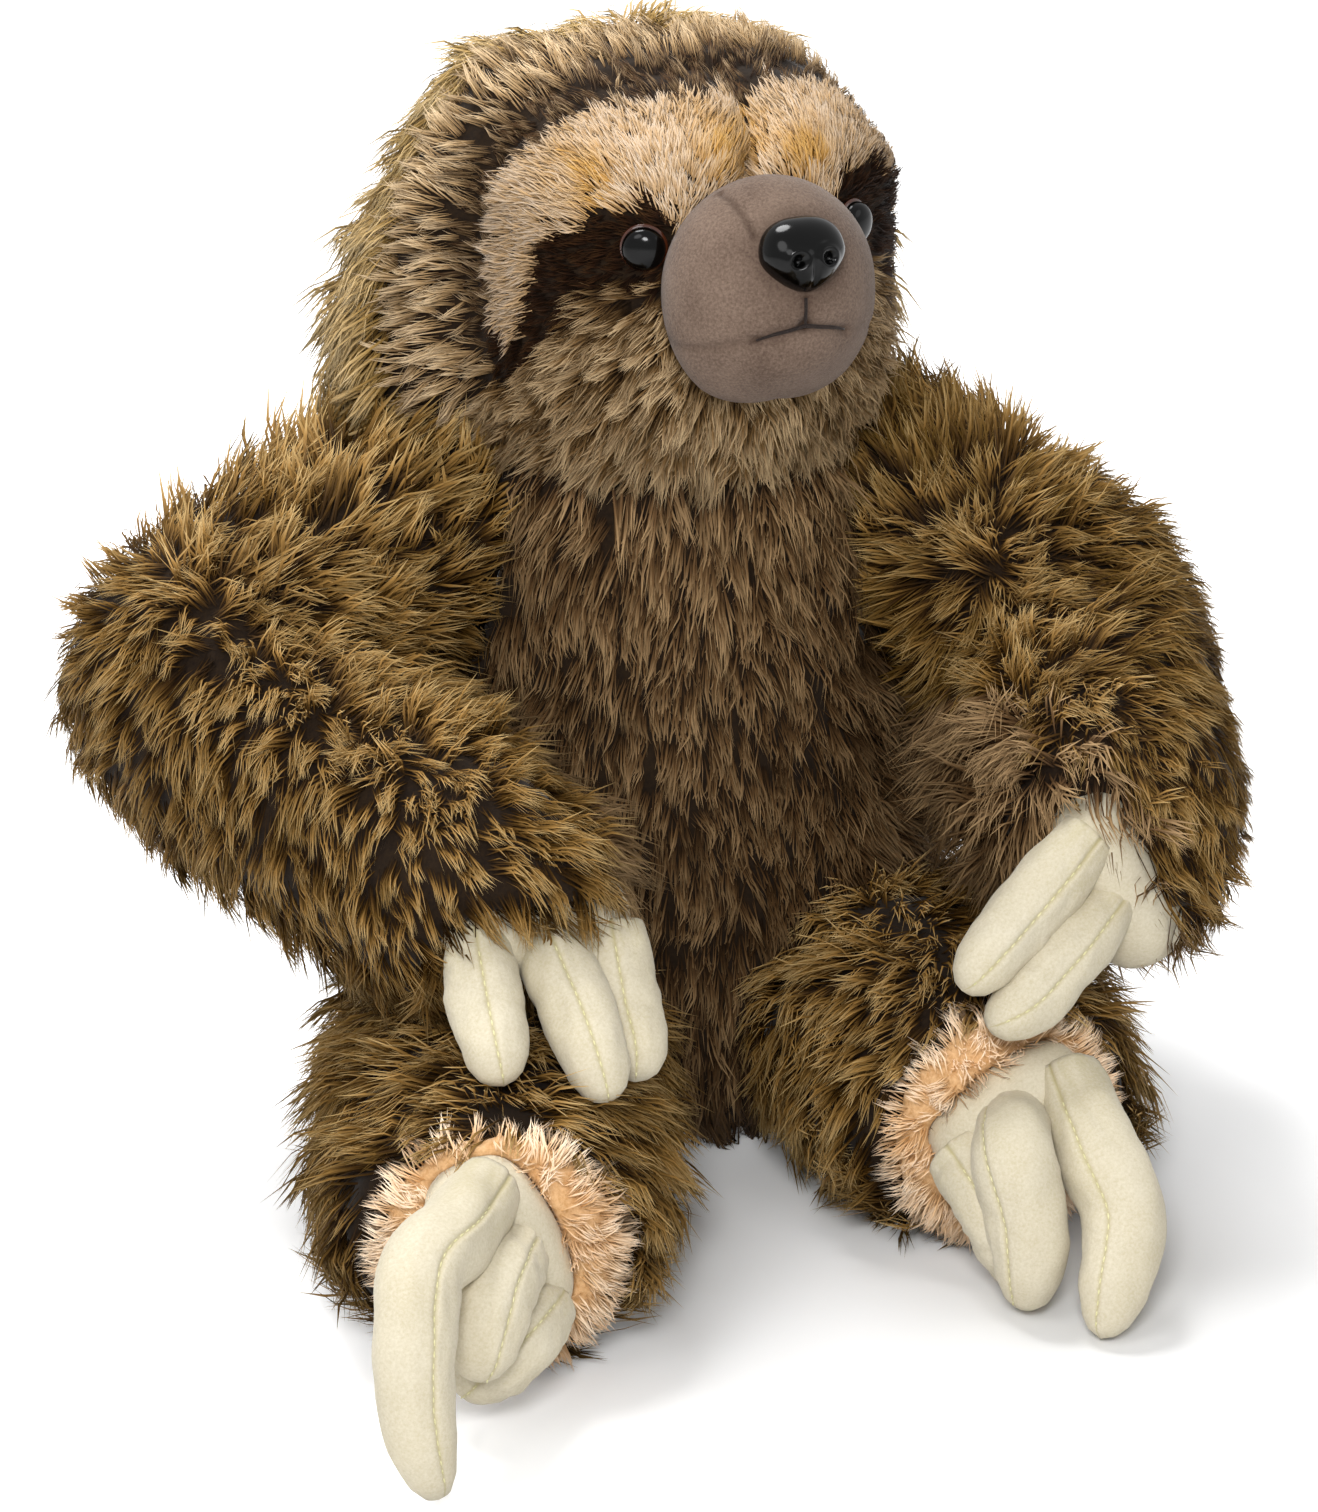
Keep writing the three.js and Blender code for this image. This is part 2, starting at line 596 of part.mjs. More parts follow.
function makeHead() {
  const group = new THREE.Group();
  group.position.set(HEAD_ASIDE, -HEAD_FORWARD, TORSO_HEIGHT + HEAD_RISE);
  group.rotation.z = radians(HEAD_TURN);

  const belowNeck = halfSpace(vector(0, 0, -1), HEAD_RISE - TURN_GAP);
  const places = [eyePlace(-1), eyePlace(1)];
  const holes = places.reduce((sum, place) => sum.add(washerRoom(place)), muzzleSolid(SEAM_GAP));
  const shell = headSolid(0).subtract(headSolid(-PILE_CLOTH)).subtract(belowNeck).subtract(holes);
  const backSide = (gap) => halfSpace(vector(0, 1, 0), HOOD_SEAM_BACK + gap);
  const front = shell.subtract(backSide(-SEAM_GAP / 2));

  const brow = (gap) => facePrism(faceOutline(mirrored(BROW_SHARES), 1), gap, -FACE_SEAM_FORWARD);
  const patch = (side, gap) => facePrism(faceOutline(EYE_PATCH_SHARES, side), gap, -FACE_SEAM_FORWARD);
  const ruffShares = [...mirrored(RUFF_TOP_SHARES), ...RUFF_BOTTOM_SHARES];
  const ruff = (gap) => facePrism(faceOutline(ruffShares, 1), gap, -FACE_SEAM_FORWARD / 2);
  const patches = (gap) => patch(-1, gap).add(patch(1, gap));

  const face = {
    brow_panel: [front.intersect(brow(0)), BROW_PLUSH],
    right_eye_patch: [front.intersect(patch(-1, 0)).subtract(brow(SEAM_GAP)), PATCH_PLUSH],
    left_eye_patch: [front.intersect(patch(1, 0)).subtract(brow(SEAM_GAP)), PATCH_PLUSH],
    ruff_panel: [front.intersect(ruff(0)).subtract(patches(SEAM_GAP)).subtract(brow(SEAM_GAP)), RUFF_PILE],
    crown_panel: [front.subtract(brow(SEAM_GAP)).subtract(patches(SEAM_GAP)).subtract(ruff(SEAM_GAP)),
      CROWN_PILE],
    hood_panel: [shell.intersect(backSide(SEAM_GAP / 2)), LONG_PILE],
  };
  for (const [name, [solid, material]] of Object.entries(face)) group.add(mesh(name, solid, material));

  const pockets = places.reduce((sum, place) => sum.add(washerPocket(place)), washerPocket(nosePlace));
  const filling = headSolid(-PILE_CLOTH - SEAM_GAP).subtract(belowNeck);
  group.add(mesh("head_stuffing", filling.subtract(pockets), FIBREFILL));

  const headCore = headSolid(-PILE_CLOTH);
  const muzzleSkin = muzzleSolid(0).subtract(muzzleSolid(-VELOUR)).subtract(headCore)
    .subtract(shankHole(nosePlace));
  const chinSide = (gap) => halfSpace(vector(0, 0, -1), CHIN_SEAM_DROP - MUZZLE_LIFT + gap);
  group.add(mesh("muzzle_panel", muzzleSkin.subtract(chinSide(-SEAM_GAP / 2)), MUZZLE_VELOUR));
  group.add(mesh("chin_panel", muzzleSkin.intersect(chinSide(SEAM_GAP / 2)), MUZZLE_VELOUR));
  const muzzleFilling = muzzleSolid(-VELOUR - SEAM_GAP).subtract(headCore).subtract(washerPocket(nosePlace));
  group.add(mesh("muzzle_stuffing", muzzleFilling, FIBREFILL));

  group.add(mesh("nose", makeNose(), BLACK_PLASTIC));
  group.add(mesh("nose_washer", washer(nosePlace), WASHER_PLASTIC));
  group.add(mesh("mouth_stitch", makeMouthStitch(), THREAD));
  for (const [name, side] of [["right", -1], ["left", 1]]) {
    group.add(mesh(name + "_eye", makeEye(side), BLACK_PLASTIC));
    group.add(mesh(name + "_eye_washer", washer(eyePlace(side)), WASHER_PLASTIC));
  }
  return group;
}

// Hands and feet, in the frame of their barrel: its length lies along X, and the claws leave along -Y

function barrel(radius, halfLength, grow, matrix) {
  const profile = Array.from({ length: BARREL_STEPS }, (_, i) => {
    const angle = Math.PI * (i / (BARREL_STEPS - 1) - 0.5);
    const width = Math.sqrt(Math.max(Math.cos(angle), 0)) * (radius + grow);
    return new THREE.Vector2(i % (BARREL_STEPS - 1) ? width : 0, Math.sin(angle) * (halfLength + grow));
  });
  const geometry = new THREE.LatheGeometry(profile, BARREL_SIDES);
  geometry.rotateZ(-Math.PI / 2);
  return solidOf(geometry, matrix);
}

function makeClaws(prefix, shares, barrelRadius, halfLength, clawLength, clawRadius) {
  const taper = smoothRows(CLAW_SHARES, CLAW_RINGS);
  let taken = solidOf(new THREE.CylinderGeometry(barrelRadius + SEAM_GAP, barrelRadius + SEAM_GAP, REACH,
    BARREL_SIDES), placed(vector(0, 0, 0), [0, 0, 90]));
  return shares.map(([along, ...bends], i) => {
    const root = vector(along * halfLength, -barrelRadius / 2, 0);
    const route = bends.map(([aside, ahead, up]) =>
      vector(along * halfLength + aside * clawLength, -barrelRadius - ahead * clawLength, up * clawLength));
    const claw = (grow) =>
      solidOf(sweptTube([root, ...route], taper, clawRadius, grow, CLAW_SIDES, vector(1, 0, 0)));
    const own = claw(0).subtract(taken);
    taken = taken.add(claw(2 * SEAM_GAP));
    return mesh(prefix + (i + 1), own, CLAW_VELOUR);
  });
}

// What a limb must leave free: a solid, turned back about the limb's joint by each part of its range
function turnedBack(solid, centre, axis, range) {
  let swept = solid;
  for (let i = 1; i <= JOINT_STEPS; i++) {
    const turn = new THREE.Matrix4().makeRotationAxis(axis, -radians((range * i) / JOINT_STEPS));
    const about = new THREE.Matrix4().makeTranslation(centre).multiply(turn)
      .multiply(new THREE.Matrix4().makeTranslation(centre.clone().negate()));
    swept = swept.add(solidOf(geometryOf(solid), about));
  }
  return swept;
}

// Arms

// A straight tapering tube with round ends
function roundedTube(from, to, fromRadius, toRadius, grow) {
  const way = to.clone().sub(from);
  const length = way.length();
  const rings = [];
  for (let i = 0; i <= CAP_RINGS; i++) rings.push([fromRadius, 0, (i / CAP_RINGS - 1) * (Math.PI / 2)]);
  for (let i = 0; i <= CAP_RINGS; i++) rings.push([toRadius, length, (i / CAP_RINGS) * (Math.PI / 2)]);
  const geometry = loft(rings.map(([radius, along, angle]) => {
    const width = Math.abs(angle) < Math.PI / 2 ? Math.cos(angle) * (radius + grow) : 0;
    const ahead = Math.sin(angle) * (radius + grow);
    return oval(along + ahead, width, width, 0, sidesOf(LIMB_SIDES, grow));
  }));
  const turn = new THREE.Quaternion().setFromUnitVectors(vector(0, 0, 1), way.normalize());
  return solidOf(geometry, new THREE.Matrix4().compose(from, turn, vector(1, 1, 1)));
}

function makeArm(name, pose) {
  const shoulder = shoulderCentre(pose.side);
  const elbow = vector(pose.side * pose.elbowOut, -pose.elbowForward, pose.elbowHeight);
  const cuff = vector(pose.side * pose.cuffOut, -pose.cuffForward, pose.cuffHeight);
  const handCentre = vector(pose.side * pose.handOut, -pose.handForward, pose.handHeight);
  const handPlace = placed(handCentre, pose.handTurn);
  const tubes = (grow) => roundedTube(shoulder, elbow, SHOULDER_RADIUS, ELBOW_RADIUS, grow)
    .add(roundedTube(elbow, cuff, ELBOW_RADIUS, CUFF_RADIUS, grow));
  const besideTorso = (grow) =>
    turnedBack(torsoSolid(2 * TURN_GAP + grow), shoulder, vector(-1, 0, 0), ARM_LIFT);
  const pastCuff = (grow) => halfSpace(vector(0, -1, 0), CUFF_DEPTH + grow, handPlace);
  const seat = barrel(PALM_RADIUS, PALM_HALF_LENGTH, TURN_GAP, handPlace);
  const body = tubes(0).subtract(besideTorso(0)).add(ball(shoulder, SHOULDER_RADIUS, [0, 0, 90]))
    .subtract(pastCuff(0)).subtract(seat);
  const inward = shoulder.clone().sub(elbow).setLength(SHOULDER_RADIUS).add(shoulder);
  const core = (grow) => tubes(grow).subtract(besideTorso(-grow))
    .add(roundedTube(inward, shoulder, SHOULDER_RADIUS, SHOULDER_RADIUS, grow)).subtract(pastCuff(grow));

  const hand = new THREE.Group();
  hand.applyMatrix4(handPlace);
  hand.add(mesh(name + "_palm", barrel(PALM_RADIUS, PALM_HALF_LENGTH, 0), CLAW_VELOUR));
  hand.add(...makeClaws(name + "_hand_claw_", HAND_CLAW_SHARES[name], PALM_RADIUS, PALM_HALF_LENGTH,
    HAND_CLAW_LENGTH, HAND_CLAW_RADIUS));
  return [
    mesh(name + "_arm_sleeve", body.subtract(core(-PILE_CLOTH)), LONG_PILE),
    mesh(name + "_arm_stuffing", body.intersect(core(-PILE_CLOTH - SEAM_GAP)), FIBREFILL),
    hand,
  ];
}

// Legs

function makeLeg(name, pose) {
  const hip = hipCentre(pose.side);
  const place = placed(hip, [0, 0, pose.legTurn]);
  const tube = (grow, backwards) => {
    const rings = smoothRows(LEG_SHARES, LIMB_RINGS).map(([along, width, height]) =>
      Array.from({ length: sidesOf(LIMB_SIDES, grow) }, (_, j) => {
        const angle = (2 * Math.PI * j) / sidesOf(LIMB_SIDES, grow);
        return vector((width * LEG_HALF_WIDTH + grow) * Math.cos(angle), -along * pose.length,
          (height * LEG_HALF_HEIGHT + grow) * Math.sin(angle));
      }));
    const rootRing = rings[0].map((p) => vector(p.x, backwards, p.z));
    return solidOf(loft(backwards > 0 ? [rootRing, ...rings] : rings), place);
  };
  const root = ball(hip, HIP_RADIUS, [90, 0, 0]);
  const besideTorso = turnedBack(torsoSolid(2 * TURN_GAP), hip, vector(0, 0, pose.side), LEG_SPLAY);
  const outer = tube(0, 0).subtract(besideTorso).add(root).subtract(BELOW_FLOOR);
  const pastAnkle = halfSpace(vector(0, -1, 0), pose.length - OVERRUN - SEAM_GAP / 2, place);
  const footPlace = place.clone().multiply(
    placed(vector(0, -(pose.length - OVERRUN) - FOOT_ROOT_FORWARD, FOOT_ROOT_LIFT), [0, pose.footTurn, 0]));
  const seat = barrel(FOOT_ROOT_RADIUS, FOOT_ROOT_HALF_LENGTH, TURN_GAP, footPlace);
  const core = (grow) => tube(-PILE_CLOTH + grow, HIP_RADIUS + OVERRUN);

  const soleShape = new THREE.SphereGeometry(1, ROUND_SIDES, ROUND_SIDES / 2);
  soleShape.scale(SOLE_HALF_WIDTH, SOLE_DEPTH, SOLE_HALF_HEIGHT);
  const solePlace = place.clone().multiply(placed(vector(0, -(pose.length - OVERRUN), 0)));
  const sole = solidOf(soleShape, solePlace)
    .subtract(halfSpace(vector(0, 1, 0), -SEAM_GAP / 2, solePlace)).subtract(seat).subtract(BELOW_FLOOR);

  const foot = new THREE.Group();
  foot.applyMatrix4(footPlace);
  foot.add(mesh(name + "_foot_root", barrel(FOOT_ROOT_RADIUS, FOOT_ROOT_HALF_LENGTH, 0), CLAW_VELOUR));
  foot.add(...makeClaws(name + "_foot_claw_", FOOT_CLAW_SHARES[name], FOOT_ROOT_RADIUS,
    FOOT_ROOT_HALF_LENGTH, FOOT_CLAW_LENGTH, FOOT_CLAW_RADIUS));
  return [
    mesh(name + "_leg_sleeve", outer.subtract(core(0)).subtract(pastAnkle).subtract(seat), LONG_PILE),
    mesh(name + "_leg_stuffing", outer.intersect(core(-SEAM_GAP)).subtract(pastAnkle).subtract(seat),
      FIBREFILL),
    mesh(name + "_sole_pad", sole, SOLE_PLUSH),
    foot,
  ];
}

const sloth = new THREE.Group();
sloth.add(...makeTorso(), makeHead());
for (const name of ["right", "left"]) {
  sloth.add(...makeArm(name, ARM_POSES[name]), ...makeLeg(name, LEG_POSES[name]));
}

export default sloth;
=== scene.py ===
import math
from functools import partial

import bmesh
import bpy
import numpy as np
from mathutils import Euler, Matrix, Vector, noise
from mathutils.bvhtree import BVHTree


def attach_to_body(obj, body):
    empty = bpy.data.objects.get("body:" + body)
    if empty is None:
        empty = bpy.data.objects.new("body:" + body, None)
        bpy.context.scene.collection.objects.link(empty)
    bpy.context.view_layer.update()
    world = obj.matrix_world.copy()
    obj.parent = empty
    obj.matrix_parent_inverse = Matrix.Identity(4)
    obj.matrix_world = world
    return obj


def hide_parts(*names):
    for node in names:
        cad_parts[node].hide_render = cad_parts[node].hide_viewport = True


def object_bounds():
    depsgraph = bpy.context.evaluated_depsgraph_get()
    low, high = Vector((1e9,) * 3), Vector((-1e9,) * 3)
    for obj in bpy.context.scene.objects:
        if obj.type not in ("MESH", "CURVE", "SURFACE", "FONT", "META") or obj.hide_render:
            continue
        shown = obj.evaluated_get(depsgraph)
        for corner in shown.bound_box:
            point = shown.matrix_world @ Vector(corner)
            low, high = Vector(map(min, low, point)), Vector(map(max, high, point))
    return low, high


# A stuffed sloth that sits: pile fur on sewn skins, velour hands and feet, moulded eyes and nose.
# Lengths are in millimetres and turned to metres by MM. Only the floor and the lamps are given in metres.

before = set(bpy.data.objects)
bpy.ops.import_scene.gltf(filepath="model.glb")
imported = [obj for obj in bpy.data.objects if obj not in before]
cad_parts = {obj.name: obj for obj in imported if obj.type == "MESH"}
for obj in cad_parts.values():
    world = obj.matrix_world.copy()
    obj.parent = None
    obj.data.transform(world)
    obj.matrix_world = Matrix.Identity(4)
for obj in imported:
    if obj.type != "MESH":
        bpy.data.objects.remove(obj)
cad_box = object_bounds()

MM = 0.001
SIDES = {"right": -1, "left": 1}


def linear(colour):
    """An sRGB hex colour as linear red, green, blue and alpha."""
    parts = [int(colour[i:i + 2], 16) / 255 for i in (1, 3, 5)]
    return [c / 12.92 if c <= 0.04045 else ((c + 0.055) / 1.055) ** 2.4 for c in parts] + [1.0]


def socket_of(sockets, key):
    """A socket by its number, or the first one in use with that name."""
    if isinstance(key, int):
        return sockets[key]
    return next(s for s in sockets if s.name == key and s.enabled)


def add(tree, kind, inputs=None, **settings):
    """Adds a node: settings are its own, and inputs are values or the outputs of other nodes."""
    made = tree.nodes.new(kind)
    for name, value in settings.items():
        setattr(made, name, value)
    for key, value in (inputs or {}).items():
        socket = socket_of(made.inputs, key)
        if isinstance(value, bpy.types.NodeSocket):
            tree.links.new(value, socket)
        else:
            socket.default_value = value
    return made


def maths(tree, operation, *values, **settings):
    """The result of a Math node."""
    return add(tree, "ShaderNodeMath", dict(enumerate(values)), operation=operation, **settings).outputs[0]


def vector_maths(tree, operation, a, b):
    """The result of a Vector Math node. SCALE takes its number in a socket of its own."""
    key = "Scale" if operation == "SCALE" else 1
    return add(tree, "ShaderNodeVectorMath", {0: a, key: b}, operation=operation).outputs[0]


def turned(position, degrees=(0, 0, 0)):
    """The frame of a piece, from its place in millimetres and its turns about X, Y and Z."""
    turn = Euler([math.radians(a) for a in degrees], "XYZ").to_matrix().to_4x4()
    return Matrix.Translation(Vector(position)) @ turn


# Places that part.mjs gives, in millimetres

HEAD_TURN = 8
HEAD_PLACE = turned((3, -8, 239.5), (0, 0, HEAD_TURN))
ARM_ROUTES = {
    "right": [(-60, 8, 157), (-117, -4, 126), (-69, -101, 99)],
    "left": [(60, 8, 157), (106, -24, 123), (99, -97, 100)],
}
HAND_PLACES = {
    "right": turned((-60, -108, 97), (41, 6, 8)),
    "left": turned((91, -111, 93), (73, 65, 6)),
}
LEG_LENGTHS = {"right": 134, "left": 96}
LEG_PLACES = {
    "right": turned((-49, -29, 33.5), (0, 0, -14)),
    "left": turned((49, -29, 33.5), (0, 0, 6)),
}
FOOT_PLACES = {
    "right": LEG_PLACES["right"] @ turned((0, -138, 4.5), (0, 66, 0)),
    "left": LEG_PLACES["left"] @ turned((0, -100, 4.5), (0, -30, 0)),
}
HAND_CLAWS = {
    "right": [
        (-0.75, [(-0.02, 0.24, 0.07), (-0.04, 0.51, 0.09), (-0.02, 0.67, 0.04)]),
        (0.0, [(0.07, 0.38, 0.15), (0.1, 0.69, 0.15), (0.13, 0.84, 0.09)]),
        (0.75, [(0.0, 0.29, 0.0), (0.0, 0.53, 0.0), (-0.02, 0.67, -0.04)]),
    ],
    "left": [
        (-0.75, [(0.11, 0.33, 0.07), (0.16, 0.71, 0.09), (0.2, 0.93, 0.09)]),
        (0.0, [(0.04, 0.33, 0.18), (0.07, 0.69, 0.2), (0.04, 0.93, 0.18)]),
        (0.3, [(-0.1, 0.21, -0.22), (-0.12, 0.48, -0.29), (-0.12, 0.7, -0.26)]),
    ],
}
FOOT_CLAWS = {
    "right": [
        (-0.75, [(-0.05, 0.22, -0.03), (-0.08, 0.47, -0.16), (0.1, 0.67, -0.27), (0.41, 0.75, -0.39),
                 (0.72, 0.75, -0.45)]),
        (0.0, [(-0.03, 0.2, 0.0), (0.06, 0.32, -0.08), (0.22, 0.36, -0.2)]),
        (0.75, [(-0.03, 0.1, -0.05), (0.02, 0.12, -0.18), (0.1, 0.08, -0.32)]),
    ],
    "left": [
        (-0.75, [(-0.02, 0.1, -0.07), (-0.05, 0.13, -0.25), (-0.08, 0.08, -0.45)]),
        (0.0, [(-0.15, 0.17, 0.13), (-0.25, 0.28, -0.08), (-0.37, 0.3, -0.3), (-0.45, 0.28, -0.43)]),
        (0.75, [(-0.12, 0.22, -0.08), (-0.2, 0.42, -0.26), (-0.41, 0.56, -0.42), (-0.57, 0.63, -0.53)]),
    ],
}
PALM = {"radius": 14, "half": 24, "claw_length": 45, "claw_radius": 9.8}
FOOT_ROOT = {"radius": 15, "half": 22, "claw_length": 60, "claw_radius": 10.8}
MUZZLE_CENTRE = Vector((0, -59, 3))
MUZZLE_RADII = Vector((27, 23, 28))
MOUTH_HEIGHT = -0.5
NOSE_HEIGHT = 17


# Camera, floor and light

CAMERA_PLACE, CAMERA_TARGET = (-351.3, -1315.1, 642.9), (8.7, 28.3, 81.0)
SENSOR_WIDTH, LENS = 36, 130.8
# Where each lamp stands, what it lights, how wide it is and its watts
LAMPS = {
    "above": ((-0.3, 0.6, 1.75), (0, 0, 0.1), 0.8, 32),
    "left": ((-1.1, -0.9, 1.5), (0, 0, 0.15), 0.9, 9),
    "right": ((1.4, -0.9, 1.1), (0, 0, 0.15), 1.0, 3),
    "soft_box": ((-0.42, -1.35, 1.0), (0, -0.06, 0.22), 0.45, 19),
}
# The floor's glow grows from the shadow's edge to its end, in metres from its centre, and stays full beyond
SHADOW_CENTRE, SHADOW_NARROWING = (0.03, -0.16, 0.0), (1.6, 1.0, 1.0)
SHADOW_EDGE, SHADOW_END, GLOW = 0.1, 0.38, 0.75
ROOM_LIGHT = 0.36


def stand(name, data, position, target):
    """Stands a camera or lamp at a position, turned to its target."""
    made = bpy.data.objects.new(name, data)
    made.location = position
    made.rotation_euler = (Vector(target) - made.location).to_track_quat("-Z", "Y").to_euler()
    bpy.context.scene.collection.objects.link(made)
    return made


def make_camera():
    data = bpy.data.cameras.new("camera")
    data.sensor_width = SENSOR_WIDTH
    data.lens = LENS
    data.clip_start = 0.1
    bpy.context.scene.camera = stand("camera", data, Vector(CAMERA_PLACE) * MM, Vector(CAMERA_TARGET) * MM)


def make_lamps():
    for name, (position, target, size, watts) in LAMPS.items():
        data = bpy.data.lights.new(name, "AREA")
        data.shape = "DISK"
        data.size = size
        data.energy = watts
        stand(name, data, position, target)


def seen_directly(tree):
    """1 where the ray comes from the camera, or from a shiny or clear piece that shows the room."""
    rays = add(tree, "ShaderNodeLightPath").outputs
    seen = rays["Is Camera Ray"]
    for kind in ("Is Glossy Ray", "Is Transmission Ray"):
        seen = maths(tree, "MAXIMUM", seen, rays[kind])
    return seen


def make_studio():
    """A white room: away from the shadow under the toy, the floor's own glow evens out the light to white."""
    world = bpy.data.worlds.new("studio")
    bpy.context.scene.world = world
    world.use_nodes = True
    tree = world.node_tree
    tree.nodes.clear()
    room = add(tree, "ShaderNodeBackground", {"Color": linear("#ffffff"), "Strength": ROOM_LIGHT})
    wall = add(tree, "ShaderNodeBackground", {"Color": linear("#ffffff"), "Strength": 1.0})
    mix = add(tree, "ShaderNodeMixShader", {0: seen_directly(tree), 1: room.outputs[0], 2: wall.outputs[0]})
    add(tree, "ShaderNodeOutputWorld", {0: mix.outputs[0]})

    bpy.ops.mesh.primitive_plane_add(size=6)
    floor = bpy.context.object
    floor.name = "floor"
    white = bpy.data.materials.new("matte_white_paper")
    white.use_nodes = True
    tree = white.node_tree
    tree.nodes.clear()
    paper = add(tree, "ShaderNodeBsdfDiffuse", {"Color": linear("#e2e2e2")})
    place = add(tree, "ShaderNodeTexCoord").outputs["Object"]
    gone = vector_maths(tree, "SUBTRACT", place, SHADOW_CENTRE)
    gone = vector_maths(tree, "MULTIPLY", gone, SHADOW_NARROWING)
    far = add(tree, "ShaderNodeVectorMath", {0: gone}, operation="LENGTH").outputs["Value"]
    even = add(tree, "ShaderNodeMapRange",
               {"Value": far, "From Min": SHADOW_EDGE, "From Max": SHADOW_END, "To Max": GLOW})
    lift = add(tree, "ShaderNodeEmission", {"Color": linear("#ffffff"), "Strength": even.outputs[0]})
    own = add(tree, "ShaderNodeBsdfTransparent", {"Color": [0, 0, 0, 1]})
    lifted = add(tree, "ShaderNodeMixShader", {0: seen_directly(tree), 1: own.outputs[0], 2: lift.outputs[0]})
    both = add(tree, "ShaderNodeAddShader", {0: paper.outputs[0], 1: lifted.outputs[0]})
    add(tree, "ShaderNodeOutputMaterial", {0: both.outputs[0]})
    floor.data.materials.append(white)

    make_lamps()
    bpy.context.scene.view_settings.view_transform = "Standard"


# Materials

# Fibres from one end of a dye's range to the other. A strand spans STRAND_SPAN of that range.
FIBRES = 110.0
STRAND_SPAN = 0.035
WORN_SIZE = 14  # of the light and dark places in a cloth


def new_material(name, roughness, specular=0.5):
    """A Principled material and its shader, with the values that are the same all over set on the shader."""
    made = bpy.data.materials.new(name)
    made.use_nodes = True
    shader = made.node_tree.nodes["Principled BSDF"]
    shader.inputs["Roughness"].default_value = roughness
    shader.inputs["Specular IOR Level"].default_value = specular
    return made, made.node_tree, shader


def ramp(tree, factor, stops):
    made = add(tree, "ShaderNodeValToRGB", {0: factor})
    elements = made.color_ramp.elements
    while len(elements) < len(stops):
        elements.new(0.5)
    for element, (position, colour) in zip(elements, stops):
        element.position = position
        element.color = linear(colour)
    return made.outputs[0]


def mixed(tree, factor, a, b):
    """The colour between two others."""
    made = add(tree, "ShaderNodeMix", {"Factor": factor, "A": a, "B": b}, data_type="RGBA")
    return socket_of(made.outputs, "Result")


def grain(tree, size, detail, roughness=0.5):
    """A smooth random value, in patches of this size on a piece."""
    place = add(tree, "ShaderNodeTexCoord").outputs["Object"]
    made = add(tree, "ShaderNodeTexNoise",
               {"Vector": place, "Scale": 1 / (size * MM), "Detail": detail, "Roughness": roughness})
    return made.outputs["Fac"]


def relief(tree, shader, strength, depth, height):
    bump = add(tree, "ShaderNodeBump", {"Strength": strength, "Distance": depth * MM, "Height": height})
    tree.links.new(bump.outputs[0], shader.inputs["Normal"])


def pile(name, deep, pale, shine=0.07):
    """Acrylic pile, dyed dark at the root and light at the tip. Across a strand, u runs over its fibres."""
    made, tree, shader = new_material(name, 0.6, shine)
    strand = add(tree, "ShaderNodeUVMap", uv_map="OFBake").outputs[0]
    across, along, _ = add(tree, "ShaderNodeSeparateXYZ", {0: strand}).outputs
    fibre = vector_maths(tree, "MULTIPLY", strand, (FIBRES, 1.6, 1.0))
    streak = add(tree, "ShaderNodeTexNoise", {"Vector": fibre, "Scale": 1.0, "Detail": 1.0}).outputs["Fac"]
    tone = maths(tree, "MULTIPLY_ADD", streak, 1.5, -0.75)
    tone = maths(tree, "ADD", across, tone, use_clamp=True)
    colour = mixed(tree, tone, ramp(tree, along, deep), ramp(tree, along, pale))
    tree.links.new(colour, shader.inputs["Base Color"])
    return made


def cloth(name, dark, light, thread, roughness=0.9, depth=0.15, painted_shade=None):
    """Knitted backing or velour of fine threads, with light and dark places, and painted shade of a given
    colour in its creases.
    """
    made, tree, shader = new_material(name, roughness, 0.15)
    nap = grain(tree, thread, 4.0, 0.7)
    tone = maths(tree, "MULTIPLY_ADD", grain(tree, WORN_SIZE, 2.0), 0.45, nap)
    tone = add(tree, "ShaderNodeMapRange", {"Value": tone, "From Min": 0.52, "From Max": 0.93}).outputs[0]
    colour = mixed(tree, tone, linear(dark), linear(light))
    # Painted shade: a value at each point of the mesh draws the colour towards the given shade colour, in
    # creases and hollows.
    if painted_shade:
        painted_share = add(tree, "ShaderNodeAttribute", attribute_name="painted_shade").outputs["Fac"]
        colour = mixed(tree, painted_share, colour, linear(painted_shade))
    tree.links.new(colour, shader.inputs["Base Color"])
    relief(tree, shader, depth, 0.3, nap)
    shader.inputs["Sheen Weight"].default_value = 0.12
    shader.inputs["Sheen Roughness"].default_value = 0.4
    return made


def moulded(name, colour, roughness, specular=0.5):
    """Injection-moulded plastic: smooth, with a very shallow ripple from the mould."""
    made, tree, shader = new_material(name, roughness, specular)
    shader.inputs["Base Color"].default_value = linear(colour)
    relief(tree, shader, 0.05, 0.2, grain(tree, 5, 1.0))
    return made


# Long pile: dyed dark at the root and light at the tip. Its near-black roots and long dark middle are also
# painted shade deep among the locks.
LONG_PILE = pile("long_acrylic_pile",
                 [(0.0, "#120902"), (0.42, "#2a1906"), (0.75, "#584017"), (1.0, "#795c2a")],
                 [(0.0, "#1b0f03"), (0.32, "#4a320c"), (0.62, "#916e3a"), (1.0, "#ccb07c")])
HOOD_PILE = pile("hood_acrylic_pile",
                 [(0.0, "#2e1e0a"), (0.35, "#70552a"), (0.75, "#a6884f"), (1.0, "#c2a56c")],
                 [(0.0, "#4a3615"), (0.3, "#a8874d"), (0.65, "#dfc08a"), (1.0, "#f2ddb2")])
BIB_PILE = pile("bib_pile",
                [(0.0, "#150b04"), (0.4, "#2f1f10"), (1.0, "#5c452c")],
                [(0.0, "#241609"), (0.4, "#694e31"), (1.0, "#bb9c72")])
CROWN_PILE = pile("crown_pile",
                  [(0.0, "#170c04"), (0.5, "#352212"), (1.0, "#5a4128")],
                  [(0.0, "#5c442a"), (0.4, "#b3946a"), (1.0, "#e9d0ab")])
